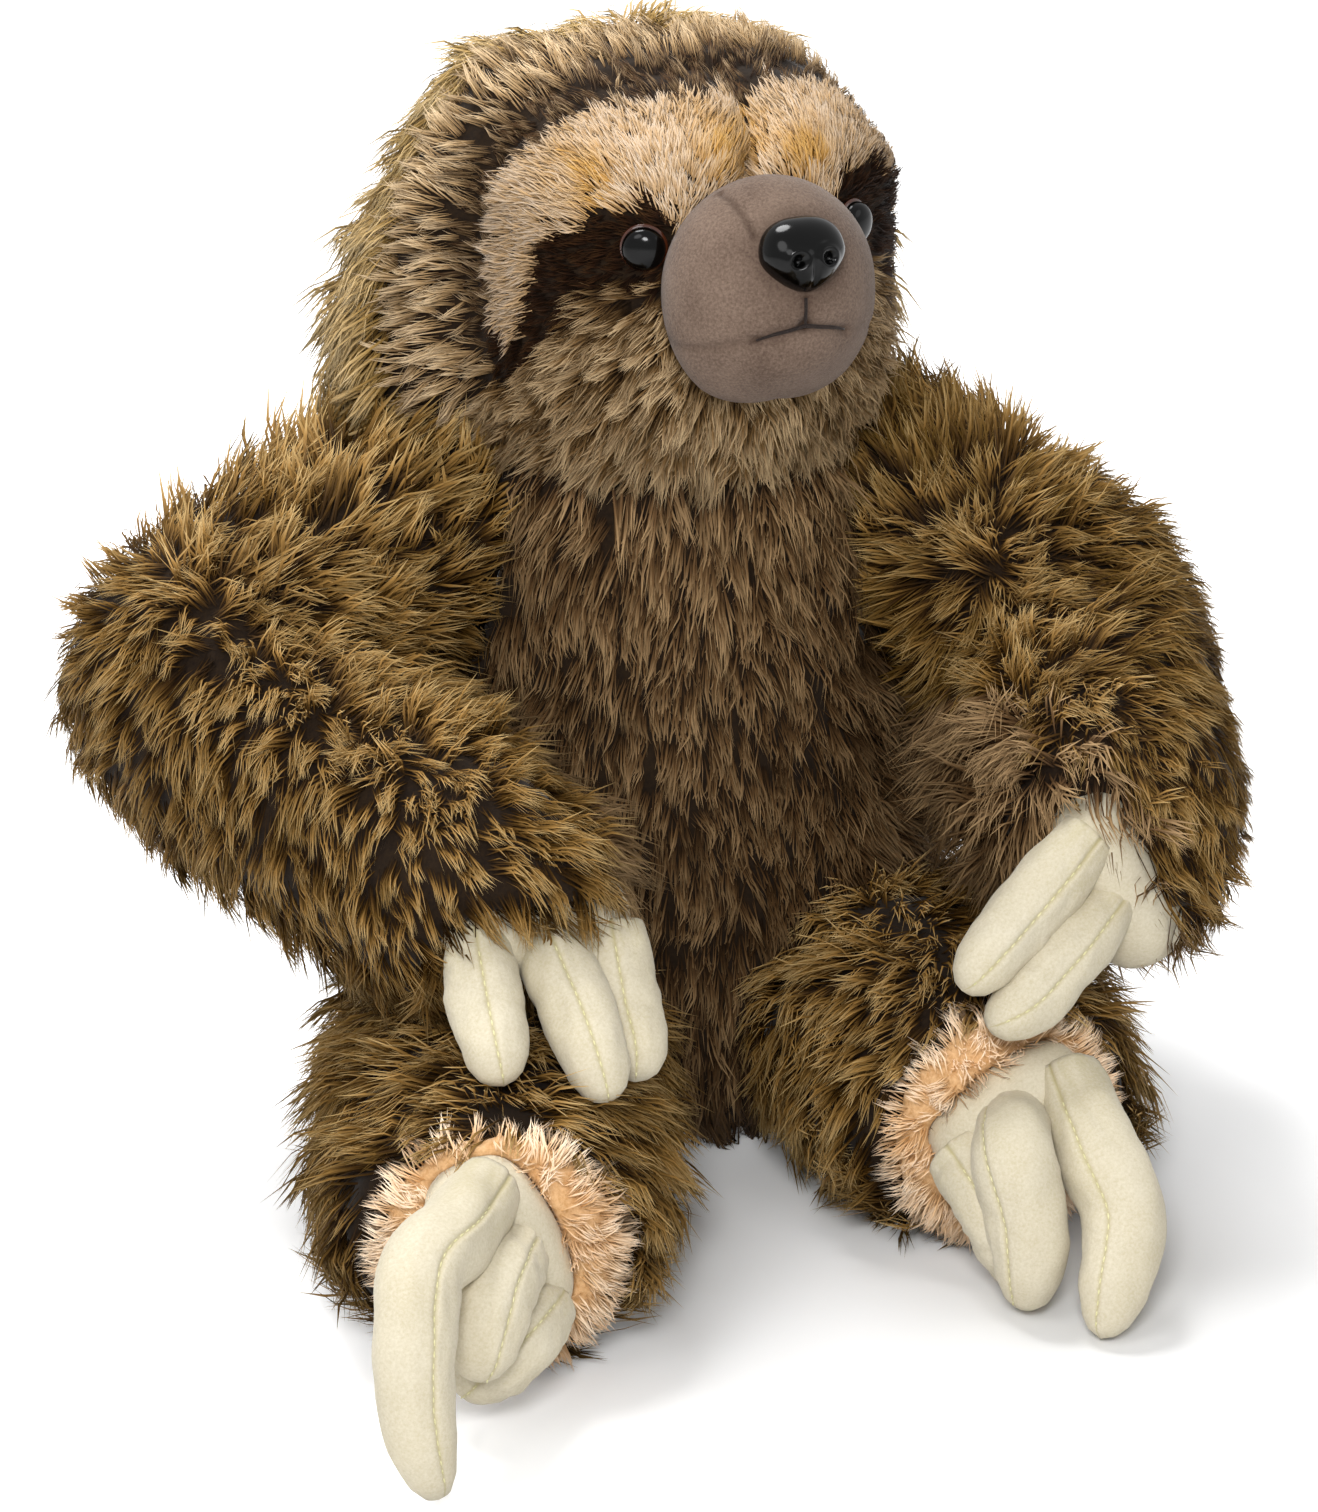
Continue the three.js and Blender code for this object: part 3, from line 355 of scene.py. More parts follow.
BROW_PILE = pile("brow_plush",
                 [(0.0, "#966c30"), (0.5, "#b2843c"), (1.0, "#bf9c64")],
                 [(0.0, "#a6865e"), (0.4, "#b79c7c"), (1.0, "#ccbaa6")])
PATCH_PILE = pile("patch_plush",
                  [(0.0, "#070301"), (0.5, "#140903"), (1.0, "#221207")],
                  [(0.0, "#100702"), (0.5, "#291609"), (1.0, "#47301a")], 0.04)
RUFF_PILE = pile("ruff_pile",
                 [(0.0, "#120902"), (0.5, "#32210c"), (1.0, "#6e522f")],
                 [(0.0, "#231406"), (0.45, "#7c5f3b"), (1.0, "#dec298")])
SOLE_PILE = pile("sole_plush",
                 [(0.0, "#b07a44"), (0.5, "#d39f66"), (1.0, "#e2b888")],
                 [(0.0, "#c79b68"), (0.4, "#ecceaa"), (1.0, "#fcebd6")])
# The knitted backing is coloured near black as painted shade: where it shows between the locks, it stands in
# for the shadow deep in the pile.
BACKING_IN_PAINTED_SHADE = cloth("knitted_backing_painted_shade", "#130a04", "#24180a", 1.2)
SOLE_BACKING = cloth("knitted_backing_peach", "#b98c5a", "#dcb68a", 1.2)
# The velours' crease colours are painted shade: the muzzle's darkens its seams, its mouth and a ring round
# the nose, and the claws' darkens their seams and the folds near their roots.
MUZZLE_VELOUR = cloth("velour_taupe", "#524238", "#786659", 0.7, depth=0.9, painted_shade="#35251b")
CLAW_VELOUR = cloth("velour_cream", "#b8ae94", "#c9c1ad", 0.8, depth=0.5, painted_shade="#a29767")
BLACK_PLASTIC = moulded("abs_black_gloss", "#020202", 0.13, 0.17)
AMBER_PLASTIC = moulded("acrylic_amber_gloss", "#3c1a0a", 0.12)
WASHER_PLASTIC = moulded("polypropylene_white", "#d9d9d4", 0.45)
MOUTH_THREAD = cloth("polyester_thread_black", "#120d0b", "#2e2420", 0.4, 0.7)
SEAM_THREAD = cloth("polyester_thread_cream", "#b9b483", "#dcd7ad", 0.4, 0.7)


# Meshes


def piece_of(name, mesh, material):
    made = bpy.data.objects.new(name, mesh)
    bpy.context.scene.collection.objects.link(made)
    mesh.materials.clear()
    mesh.materials.append(material)
    return made


def attach(made, body, nodes=()):
    """Hides the solids that a piece replaces, if any, and puts the piece on its body."""
    if nodes:
        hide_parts(*nodes)
    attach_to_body(made, body)


def smooth(mesh):
    mesh.shade_smooth()
    return mesh


def mesh_from(form, name):
    """The mesh of an edit form, which is freed."""
    mesh = bpy.data.meshes.new(name)
    form.to_mesh(mesh)
    form.free()
    return mesh


def settled(made):
    """Applies every modifier: the object gets the mesh that they give."""
    graph = bpy.context.evaluated_depsgraph_get()
    final = bpy.data.meshes.new_from_object(made.evaluated_get(graph), preserve_all_data_layers=True,
                                            depsgraph=graph)
    made.modifiers.clear()
    made.data = final


def grow(made, tree, values):
    """Runs a node tree on an object, with inputs given by name, and keeps the mesh that it makes."""
    grown = made.modifiers.new(tree.name, "NODES")
    grown.node_group = tree
    for socket in tree.interface.items_tree:
        if socket.in_out == "INPUT" and socket.name in values:
            grown[socket.identifier] = values[socket.name]
    settled(made)


def skin(name, nodes, voxel, rounds, material):
    """One closed soft form round the solids of these nodes, in voxels of this size, and rounded off."""
    form = bmesh.new()
    for node in nodes:
        form.from_mesh(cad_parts[node].data)
    bmesh.ops.remove_doubles(form, verts=form.verts, dist=0.001 * MM)
    made = piece_of(name, mesh_from(form, name), material)
    remesh = made.modifiers.new("remesh", "REMESH")
    remesh.mode = "VOXEL"
    remesh.voxel_size = voxel * MM
    rounded = made.modifiers.new("rounded", "SMOOTH")
    rounded.factor = 0.5
    rounded.iterations = rounds
    settled(made)
    smooth(made.data)
    return made


def shaped_ball(name, rings, shape, place, material):
    """A closed ball whose points, as unit directions, are moved by shape, in its own frame."""
    form = bmesh.new()
    bmesh.ops.create_uvsphere(form, u_segments=2 * rings, v_segments=rings, radius=1)
    for vertex in form.verts:
        vertex.co = place @ shape(vertex.co.copy()) * MM
    bmesh.ops.recalc_face_normals(form, faces=form.faces)
    return piece_of(name, smooth(mesh_from(form, name)), material)


CURVE_STEPS = 24


def curve_through(points, steps):
    """Points and tangents at even steps along a smooth curve through these points."""
    knots = [Vector(p) for p in points]
    knots = [2 * knots[0] - knots[1], *knots, 2 * knots[-1] - knots[-2]]
    fine = []
    for p0, p1, p2, p3 in zip(knots, knots[1:], knots[2:], knots[3:]):
        d0, d1, d2 = [max((b - a).length, 1e-9) ** 0.5 for a, b in ((p0, p1), (p1, p2), (p2, p3))]
        t1 = ((p1 - p0) / d0 - (p2 - p0) / (d0 + d1) + (p2 - p1) / d1) * d1
        t2 = ((p2 - p1) / d1 - (p3 - p1) / (d1 + d2) + (p3 - p2) / d2) * d1
        for i in range(CURVE_STEPS):
            t = i / CURVE_STEPS
            a, b = 2 * p1 - 2 * p2 + t1 + t2, -3 * p1 + 3 * p2 - 2 * t1 - t2
            fine.append(a * t ** 3 + b * t ** 2 + t1 * t + p1)
    fine.append(knots[-2])
    run = np.concatenate([[0], np.cumsum([(b - a).length for a, b in zip(fine, fine[1:])])])
    even = np.linspace(0, run[-1], steps)
    table = np.array(fine)
    found = [Vector([np.interp(s, run, table[:, k]) for k in range(3)]) for s in even]
    ways = [(found[min(i + 1, steps - 1)] - found[max(i - 1, 0)]).normalized() for i in range(steps)]
    return found, ways


def even_angles(sides):
    return [2 * math.pi * j / sides for j in range(sides)]


def tube(name, route, lift, section, material, angles, steps, place):
    """A closed tube along a route. section gives its radius for a share of the route and an angle."""
    centres, ways = curve_through(route, steps)
    lift = Vector(lift)
    sides = len(angles)
    form = bmesh.new()
    rings = []
    for i, (centre, way) in enumerate(zip(centres, ways)):
        lift = (lift - way * lift.dot(way)).normalized()
        across = way.cross(lift)
        ring = []
        for angle in angles:
            out = lift * math.cos(angle) + across * math.sin(angle)
            ring.append(form.verts.new(place @ (centre + out * section(i / (steps - 1), angle)) * MM))
        rings.append(ring)
    for low, high in zip(rings, rings[1:]):
        for j in range(sides):
            form.faces.new([low[j], low[(j + 1) % sides], high[(j + 1) % sides], high[j]])
    form.faces.new(list(reversed(rings[0])))
    form.faces.new(rings[-1])
    bmesh.ops.recalc_face_normals(form, faces=form.faces)
    return piece_of(name, smooth(mesh_from(form, name)), material)


# Values at the points of a mesh


def points_of(mesh):
    """The points and normals of a mesh, in millimetres."""
    co = np.empty(len(mesh.vertices) * 3, np.float32)
    mesh.vertices.foreach_get("co", co)
    normals = np.array([v.normal for v in mesh.vertices])
    return co.reshape(-1, 3) / MM, normals


def reshaped(mesh, points):
    """Moves a mesh's points to these places and gives its new points and normals."""
    mesh.vertices.foreach_set("co", (points * MM).ravel())
    mesh.update()
    return points_of(mesh)


def seen_from(place, points):
    """Points in the frame of a piece."""
    into = np.array(place.inverted())
    return points @ into[:3, :3].T + into[:3, 3]


def capped(values):
    return np.clip(values, 0, 1)


def grade(values, start, end):
    """0 up to start, 1 from end on and even between them. Start may be the larger one."""
    return capped((values - start) / (end - start))


def near(distance, width):
    """1 at no distance, and falling smoothly over this width."""
    return np.exp(-(distance / width) ** 2)


def unit(rows):
    return rows / np.maximum(np.linalg.norm(rows, axis=1, keepdims=True), 1e-6)


def along_surface(ways, normals):
    """Directions laid onto the surface, each a unit long."""
    return unit(ways - normals * (ways * normals).sum(1, keepdims=True))


def mottle(points, size, seed):
    """A smooth random value between -1 and 1 at each point, in patches of about this size."""
    shift = Vector((seed * 17.3, seed * 5.1, seed * 9.7))
    return np.array([noise.noise(Vector(p) / size + shift) for p in points])


def swirls(points, size, seeds):
    """A smooth random direction at each point."""
    return np.stack([mottle(points, size, seed) for seed in seeds], 1)


def zones_of(points, nodes):
    """For each point, the distance to each of these nodes."""
    trees = []
    for node in nodes:
        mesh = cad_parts[node].data
        trees.append(BVHTree.FromPolygons([v.co for v in mesh.vertices], [p.vertices for p in mesh.polygons]))
    return np.array([[tree.find_nearest(Vector(p) * MM)[3] / MM for tree in trees] for p in points])


def give(mesh, name, kind, values):
    layer = mesh.attributes.new(name, kind, "POINT")
    key = "vector" if kind == "FLOAT_VECTOR" else "value"
    layer.data.foreach_set(key, np.asarray(values, np.float32).ravel())


# Pile

# A strand is a ribbon with a raised back, drawn at two rings and a point. Each corner of the ribbon has its
# place across the strand, and each ring its share of the length and of the width.
RIBBON = ((1, 0), (-1, 0), (0, 0.5))
ACROSS = (0.0, 1.0, 0.5)
RINGS = ((0.0, 0.7), (0.6, 1.0))
# The tip keeps this share of the root's distance from the middle of its lock, and of the roots' spread
GATHER = 0.4
STRAY_SPREAD = 1.3
STRAND_LENGTHS = (0.55, 1.0)
CURL_RANGE = (0.7, 1.3)
CURL_SIDEWAYS = 0.05
CURL_DROP = 0.35


def strand_centre(root, tip, curl, length, t):
    """The middle of a strand at a share t of its length."""
    flat = root * (1 - t) + tip * t + np.array(curl) * t * t
    return np.array([*flat, t * length - CURL_DROP * abs(curl[0]) * t * t])


def lock_mesh(name, seed, strands, half_width, spread, bend):
    """Flat strands that stand on a small patch and lean together, a unit long. The last one strays."""
    draw = np.random.default_rng(seed)
    points, along, across, strand, faces = [], [], [], [], []
    for number in range(strands):
        root = draw.normal(0, spread, 2)
        stray = number == strands - 1
        tip = root * GATHER + draw.normal(0, spread * (STRAY_SPREAD if stray else GATHER), 2)
        length = draw.uniform(*STRAND_LENGTHS)
        curl = (bend * draw.uniform(*CURL_RANGE), draw.normal(0, CURL_SIDEWAYS))
        facing = draw.uniform(0, math.pi)
        tone = draw.uniform(-0.5, 0.5)
        first = len(points)
        cos, sin = math.cos(facing), math.sin(facing)
        for t, width in RINGS:
            for (a, b), place_across in zip(RIBBON, ACROSS):
                a, b = a * width * half_width, b * width * half_width
                middle = strand_centre(root, tip, curl, length, t)
                points.append(middle + (a * cos - b * sin, a * sin + b * cos, 0))
                along.append(t)
                across.append(place_across)
        points.append(strand_centre(root, tip, curl, length, 1.0))
        along.append(1.0)
        across.append(0.5)
        strand += [tone] * (len(points) - first)
        faces.append([first, first + 1, first + 2])
        for k in range(3):
            a, b = first + k, first + (k + 1) % 3
            faces.append([b, a, a + 3, b + 3])
            faces.append([b + 3, a + 3, first + 6])
    mesh = bpy.data.meshes.new(name)
    mesh.from_pydata([tuple(p) for p in points], [], faces)
    form = bmesh.new()
    form.from_mesh(mesh)
    bmesh.ops.recalc_face_normals(form, faces=form.faces)
    form.to_mesh(mesh)
    form.free()
    for key, values in (("along", along), ("across", across), ("strand", strand)):
        give(mesh, key, "FLOAT", values)
    return mesh


def lock_collection(name, strands, half_width, spread, bends):
    group = bpy.data.collections.new(name)
    for i, bend in enumerate(bends):
        mesh = lock_mesh(f"{name}_{i}", i, strands, half_width, spread, bend)
        group.objects.link(bpy.data.objects.new(f"{name}_{i}", mesh))
    return group


def new_tree(name, cloth, inputs, result):
    """A geometry tree with these inputs, and the outputs of its input node."""
    tree = bpy.data.node_groups.new(name, "GeometryNodeTree")
    for key, kind in ((cloth, "Geometry"), *inputs.items()):
        tree.interface.new_socket(name=key, in_out="INPUT", socket_type="NodeSocket" + kind)
    tree.interface.new_socket(name=result, in_out="OUTPUT", socket_type="NodeSocketGeometry")
    return tree, add(tree, "NodeGroupInput").outputs


# Locks for each square metre, their length, how far they lean along the comb and are ruffled, how far their
# strands sway in waves of this size, fall, and draw together in tufts of this size, and how their dye varies.
FUR_NUMBERS = ("Density", "Length", "Lean", "Ruffle", "Sway", "Wave", "Droop", "Clump", "Tuft", "Variety")
FUR_INPUTS = {**dict.fromkeys(FUR_NUMBERS, "Float"),
              "Seed": "Int", "Locks": "Collection", "Finish": "Material"}
FUR_LENGTHS = ("Length", "Sway", "Wave", "Droop", "Tuft")
FUR_USUAL = {"Variety": 0.6, "Droop": 0.0, "Clump": 0.85, "Tuft": 6}
FUR_FIELDS = {"comb": "FLOAT_VECTOR", "cover": "FLOAT", "tall": "FLOAT", "tone": "FLOAT"}
TIP_LIFT = 0.6  # the least height of a tip above the floor


def make_fur_tree():
    """Locks of pile on a cloth: where, how they lean along the comb, how they sway, and their dye."""
    tree, given = new_tree("pile_fur", "Cloth", FUR_INPUTS, "Fur")
    sums, vectors = partial(maths, tree), partial(vector_maths, tree)

    def named(name, kind="FLOAT"):
        return add(tree, "GeometryNodeInputNamedAttribute", {"Name": name}, data_type=kind).outputs[0]

    def drawn(kind, low, high, shift):
        seed = sums("ADD", given["Seed"], shift)
        made = add(tree, "FunctionNodeRandomValue", {"Min": low, "Max": high, "Seed": seed}, data_type=kind)
        return socket_of(made.outputs, "Value")

    # Where the locks stand, and the tuft that each is in
    density = sums("MULTIPLY", given["Density"], named("cover"))
    points = add(tree, "GeometryNodeDistributePointsOnFaces",
                 {"Mesh": given["Cloth"], "Density": density, "Seed": given["Seed"]})
    normal = points.outputs["Normal"]
    place = add(tree, "GeometryNodeInputPosition").outputs[0]
    cell = add(tree, "ShaderNodeTexVoronoi", {"Vector": place, "Scale": sums("DIVIDE", 1.0, given["Tuft"])})
    cell_draws = add(tree, "ShaderNodeSeparateXYZ", {0: cell.outputs["Color"]}).outputs

    # How they lean and how long they are: partly alike within a tuft, partly each in its own way
    comb = named("comb", "FLOAT_VECTOR")
    cell_way = vectors("SUBTRACT", vectors("SCALE", cell.outputs["Color"], 2.0), (1, 1, 1))
    own_way = vectors("SCALE", drawn("FLOAT_VECTOR", (-1, -1, -1), (1, 1, 1), 1.0), 0.45)
    ruffle = vectors("SCALE", vectors("ADD", cell_way, own_way), given["Ruffle"])
    upright = vectors("SCALE", normal, sums("SUBTRACT", 1.0, given["Lean"]))
    leaning = vectors("ADD", upright, vectors("SCALE", comb, given["Lean"]))
    growth = vectors("ADD", leaning, ruffle)
    turn = add(tree, "FunctionNodeAxesToRotation",
               {"Primary Axis": growth, "Secondary Axis": vectors("ADD", comb, ruffle)},
               primary_axis="Z", secondary_axis="X")
    length = sums("MULTIPLY", given["Length"], named("tall"))
    length = sums("MULTIPLY", length, drawn("FLOAT", 0.8, 1.1, 2.0))
    length = sums("MULTIPLY", length, sums("ADD", sums("MULTIPLY", cell_draws[1], 0.35), 0.72))
    locks = add(tree, "GeometryNodeCollectionInfo",
                {"Collection": given["Locks"], "Separate Children": True, "Reset Children": True})
    standing = add(tree, "GeometryNodeInstanceOnPoints", {
        "Points": points.outputs["Points"],
        "Instance": locks.outputs[0],
        "Pick Instance": True,
        "Instance Index": drawn("INT", 0, 3, 3.0),
        "Rotation": turn.outputs[0],
        "Scale": length,
    })

    # What each strand keeps of its lock: its dye, the way to the middle of its tuft, and its lie
    towards = vectors("SUBTRACT", cell.outputs["Position"], place)
    rise = add(tree, "ShaderNodeVectorMath", {0: towards, 1: normal}, operation="DOT_PRODUCT")
    towards = vectors("SUBTRACT", towards, vectors("SCALE", normal, rise.outputs["Value"]))
    own_tone = sums("SUBTRACT", drawn("FLOAT", 0.0, 1.0, 4.0), 0.5)
    cell_tone = sums("SUBTRACT", cell_draws[2], 0.5)
    tone = sums("ADD", named("tone"), sums("MULTIPLY", sums("ADD", own_tone, cell_tone), given["Variety"]))
    kept = standing.outputs[0]
    for name, kind, value in (("shade", "FLOAT", tone), ("gather", "FLOAT_VECTOR", towards),
                              ("lie", "FLOAT_VECTOR", vectors("ADD", normal, growth))):
        kept = add(tree, "GeometryNodeStoreNamedAttribute", {"Geometry": kept, "Name": name, "Value": value},
                   data_type=kind, domain="INSTANCE").outputs[0]
    real = add(tree, "GeometryNodeRealizeInstances", {"Geometry": kept})

    # The strands bend: tips draw together, sway and fall, and none goes below the floor
    along = named("along")
    bent = sums("POWER", along, 1.6)
    clumped = sums("MULTIPLY", given["Clump"], sums("POWER", along, 1.3))
    clumped = vectors("SCALE", named("gather", "FLOAT_VECTOR"), clumped)
    waves = add(tree, "ShaderNodeTexNoise", {"Vector": place, "Scale": sums("DIVIDE", 1.0, given["Wave"]),
                                             "Detail": 2.0, "Roughness": 0.6})
    centred = vectors("SUBTRACT", waves.outputs["Color"], (0.5, 0.5, 0.5))
    swaying = vectors("SCALE", centred, sums("MULTIPLY", sums("MULTIPLY", given["Sway"], 2.0), bent))
    swaying = vectors("SCALE", swaying, named("tall"))
    falling = vectors("SCALE", (0, 0, -1), sums("MULTIPLY", given["Droop"], bent))
    moved = vectors("ADD", vectors("ADD", place, clumped), vectors("ADD", swaying, falling))
    moved = add(tree, "ShaderNodeSeparateXYZ", {0: moved}).outputs
    height = sums("MAXIMUM", moved[2], sums("MULTIPLY", along, TIP_LIFT * MM))
    above = add(tree, "ShaderNodeCombineXYZ", {0: moved[0], 1: moved[1], 2: height})
    shaped = add(tree, "GeometryNodeSetPosition", {"Geometry": real.outputs[0], "Position": above.outputs[0]})

    # The dye goes across the map that the materials read, and the length of the strand goes up it
    own = sums("MULTIPLY", named("strand"), 0.35)
    across = sums("MULTIPLY", named("across"), STRAND_SPAN)
    dye = sums("ADD", sums("ADD", named("shade"), own), across)
    dye = sums("MINIMUM", sums("MAXIMUM", dye, 0.01), 0.99)
    strand = add(tree, "ShaderNodeCombineXYZ", {0: dye, 1: along})
    mapped = add(tree, "GeometryNodeStoreNamedAttribute",
                 {"Geometry": shaped.outputs[0], "Name": "OFBake", "Value": strand.outputs[0]},
                 data_type="FLOAT2", domain="CORNER")
    rounded = add(tree, "GeometryNodeSetShadeSmooth", {"Geometry": mapped.outputs[0]})
    dyed = add(tree, "GeometryNodeSetMaterial", {"Geometry": rounded.outputs[0], "Material": given["Finish"]})
    add(tree, "NodeGroupOutput", {0: dyed.outputs[0]})
    return tree


FUR_TREE = make_fur_tree()
LONG_LOCKS = lock_collection("long_lock", 8, 0.0145, 0.07, (0.2, 0.3, 0.45, 0.25))
SHORT_LOCKS = lock_collection("short_lock", 8, 0.025, 0.13, (0.12, 0.25, 0.35, 0.2))
FUR_ROOM = 11  # beyond the solids' box, where strands start to be held back
HELD_SHARE = 0.65


def soften(mesh):
    """Keeps strands near the solids' box, and turns their shading towards the lie of the pile."""
    places, lie, own = (np.empty(len(mesh.vertices) * 3, np.float32) for _ in range(3))
    mesh.vertices.foreach_get("co", places)
    places = places.reshape(-1, 3)
    for sign, corner in zip((-1, 1), cad_box):
        edge = np.array(corner) + sign * FUR_ROOM * MM
        places -= sign * HELD_SHARE * np.maximum(sign * (places - edge), 0)
    mesh.vertices.foreach_set("co", places.ravel())
    mesh.attributes["lie"].data.foreach_get("vector", lie)
    mesh.vertex_normals.foreach_get("vector", own)
    mesh.normals_split_custom_set_from_vertices(unit(unit(lie.reshape(-1, 3)) + 0.5 * own.reshape(-1, 3)))


def fur(name, base, body, slot, finish, locks, count, comb, cover, tall, tone, **sizes):
    """About count locks on a base cloth, with their comb, cover, height and tone at each of its points."""
    made = piece_of(name, base.data.copy(), finish)
    for (key, kind), values in zip(FUR_FIELDS.items(), (comb, cover, tall, tone)):
        give(made.data, key, kind, values)
    cover = np.asarray(cover, float)
    area = sum(face.area * cover[list(face.vertices)].mean() for face in made.data.polygons)
    sizes = {**FUR_USUAL, **sizes}
    for key in FUR_LENGTHS:
        sizes[key] *= MM
    grow(made, FUR_TREE, {"Density": count / area, "Locks": locks, "Finish": finish, **sizes})
    soften(made.data)
    for left in (*FUR_FIELDS, "shade", "along", "across", "strand", "gather", "lie"):
        if left in made.data.attributes:
            made.data.attributes.remove(made.data.attributes[left])
    attach(made, body)


# Torso

TORSO_NODES = ["torso_back_panel", "torso_bib_panel", "torso_stuffing", "pellet_bag"]
BELLY_PUFF, FLANK_PUFF = 8, 6
PILE_TOP, PILE_FOOT = 186, 1.5  # the heights between which the torso has its pile


def make_torso():
    base = skin("torso_cloth", TORSO_NODES, 4, 10, BACKING_IN_PAINTED_SHADE)
    attach(base, "torso", TORSO_NODES)
    points, normals = points_of(base.data)
    x, y, z = points.T
    belly = grade(z, 60, 20) * capped(-normals[:, 1] * 1.5) * grade(np.abs(x), 32, 18)
    beside = grade(x, 30, 45) * capped(1 - np.abs(z - 85) / 45)
    points[:, 1] -= BELLY_PUFF * belly
    points[:, 0] += FLANK_PUFF * beside

    points, normals = reshaped(base.data, points)
    x, y, z = points.T
    back, bib = zones_of(points, TORSO_NODES[:2]).T
    flank = grade(np.abs(x), 34, 52) * grade(z, 140, 115)
    wander = np.stack([mottle(points, 26, 4), mottle(points, 26, 5), np.zeros(len(points))], 1)
    outwards = points * [0.006, 0.0, 0.0] * (1 + 2 * flank[:, None]) + 0.35 * wander
    comb = along_surface(outwards + [0, 0, -1], normals) * (1 - 0.6 * flank)[:, None]
    patches = mottle(points, 22, 1)
    shows = (z < PILE_TOP) & (z > PILE_FOOT)
    dense = np.where(y > 0, 1.0, 0.8) + 0.8 * flank * (x > 0)
    fur("torso_back_fur", base, "torso", "long_pile", LONG_PILE, LONG_LOCKS, 1300,
        comb, (back <= bib) * shows * dense, 1 + 0.5 * flank, 0.5 + 0.3 * patches,
        Length=22, Lean=0.6, Ruffle=0.25, Sway=6, Wave=16, Seed=11)
    chest = grade(z, 125, 180)
    # Low on the bib the pile is longer and its tone drops: the darker tone is painted shade, away from the
    # light above.
    low = grade(z, 70, 10)
    fur("torso_bib_fur", base, "torso", "bib_pile", BIB_PILE, LONG_LOCKS, 2000,
        comb, (bib < back) * shows * (1 - 0.2 * low + flank), 0.9 + 0.25 * chest + 0.5 * low + 0.6 * flank,
        0.64 + 0.35 * patches + 0.24 * chest - 0.75 * low,
        Length=20, Lean=0.68, Ruffle=0.14, Sway=6, Wave=14, Clump=0.6, Tuft=5, Seed=12)


# Head, with lines and spots given as they are seen from the front, in its own frame

FACE_NODES = ["brow_panel", "right_eye_patch", "left_eye_patch", "ruff_panel", "crown_panel", "hood_panel"]
BROW, RIGHT_PATCH, LEFT_PATCH, RUFF, CROWN, HOOD = range(len(FACE_NODES))
BROW_RIDGE = [(8, 31), (20, 33), (34, 30), (45, 19)]
BROW_NOTCH = [(7, 42), (5.5, 37), (3, 32), (-0.5, 28)]
TAN_SPOTS = [(-37, 27), (-7, 34), (15, 31)]
TAN_RADIUS = 7
RIDGE_PUFF, NOTCH_DEPTH, HOOD_PUFF, TOP_PUFF = 3.5, 7, 7.5, 2
NECK_HEIGHT = 193  # above the floor, where the head's pile ends


def from_line(local, line):
    """How far each place seen from the front is from a line of points."""
    best = np.full(len(local), 1e9)
    for (x0, z0), (x1, z1) in zip(line, line[1:]):
        way = np.array([x1 - x0, z1 - z0])
        gone = local[:, [0, 2]] - [x0, z0]
        t = capped(gone @ way / (way @ way))
        best = np.minimum(best, np.linalg.norm(gone - t[:, None] * way, axis=1))
    return best


def fill_out_head(mesh):
    """Puffs out the brow beside its notch and the hood behind, and says which points are in front."""
    points, normals = points_of(mesh)
    local = seen_from(HEAD_PLACE, points)
    x, y, z = local.T
    mirror = local.copy()
    mirror[:, 0] = np.abs(x)
    front = y < -8
    brow = RIDGE_PUFF * near(from_line(mirror, BROW_RIDGE), 8)
    brow -= NOTCH_DEPTH * near(from_line(local, BROW_NOTCH), 3.5)
    hood = HOOD_PUFF * grade(y, -2, 12) * grade(mirror[:, 0], 22, 36)
    hood *= np.where(x < 0, 1, 0.3 * grade(z, -45, -30))
    hood += TOP_PUFF * grade(z, 30, 42) * ~front
    points += normals * (brow * front + hood)[:, None]
    return *reshaped(mesh, points), front


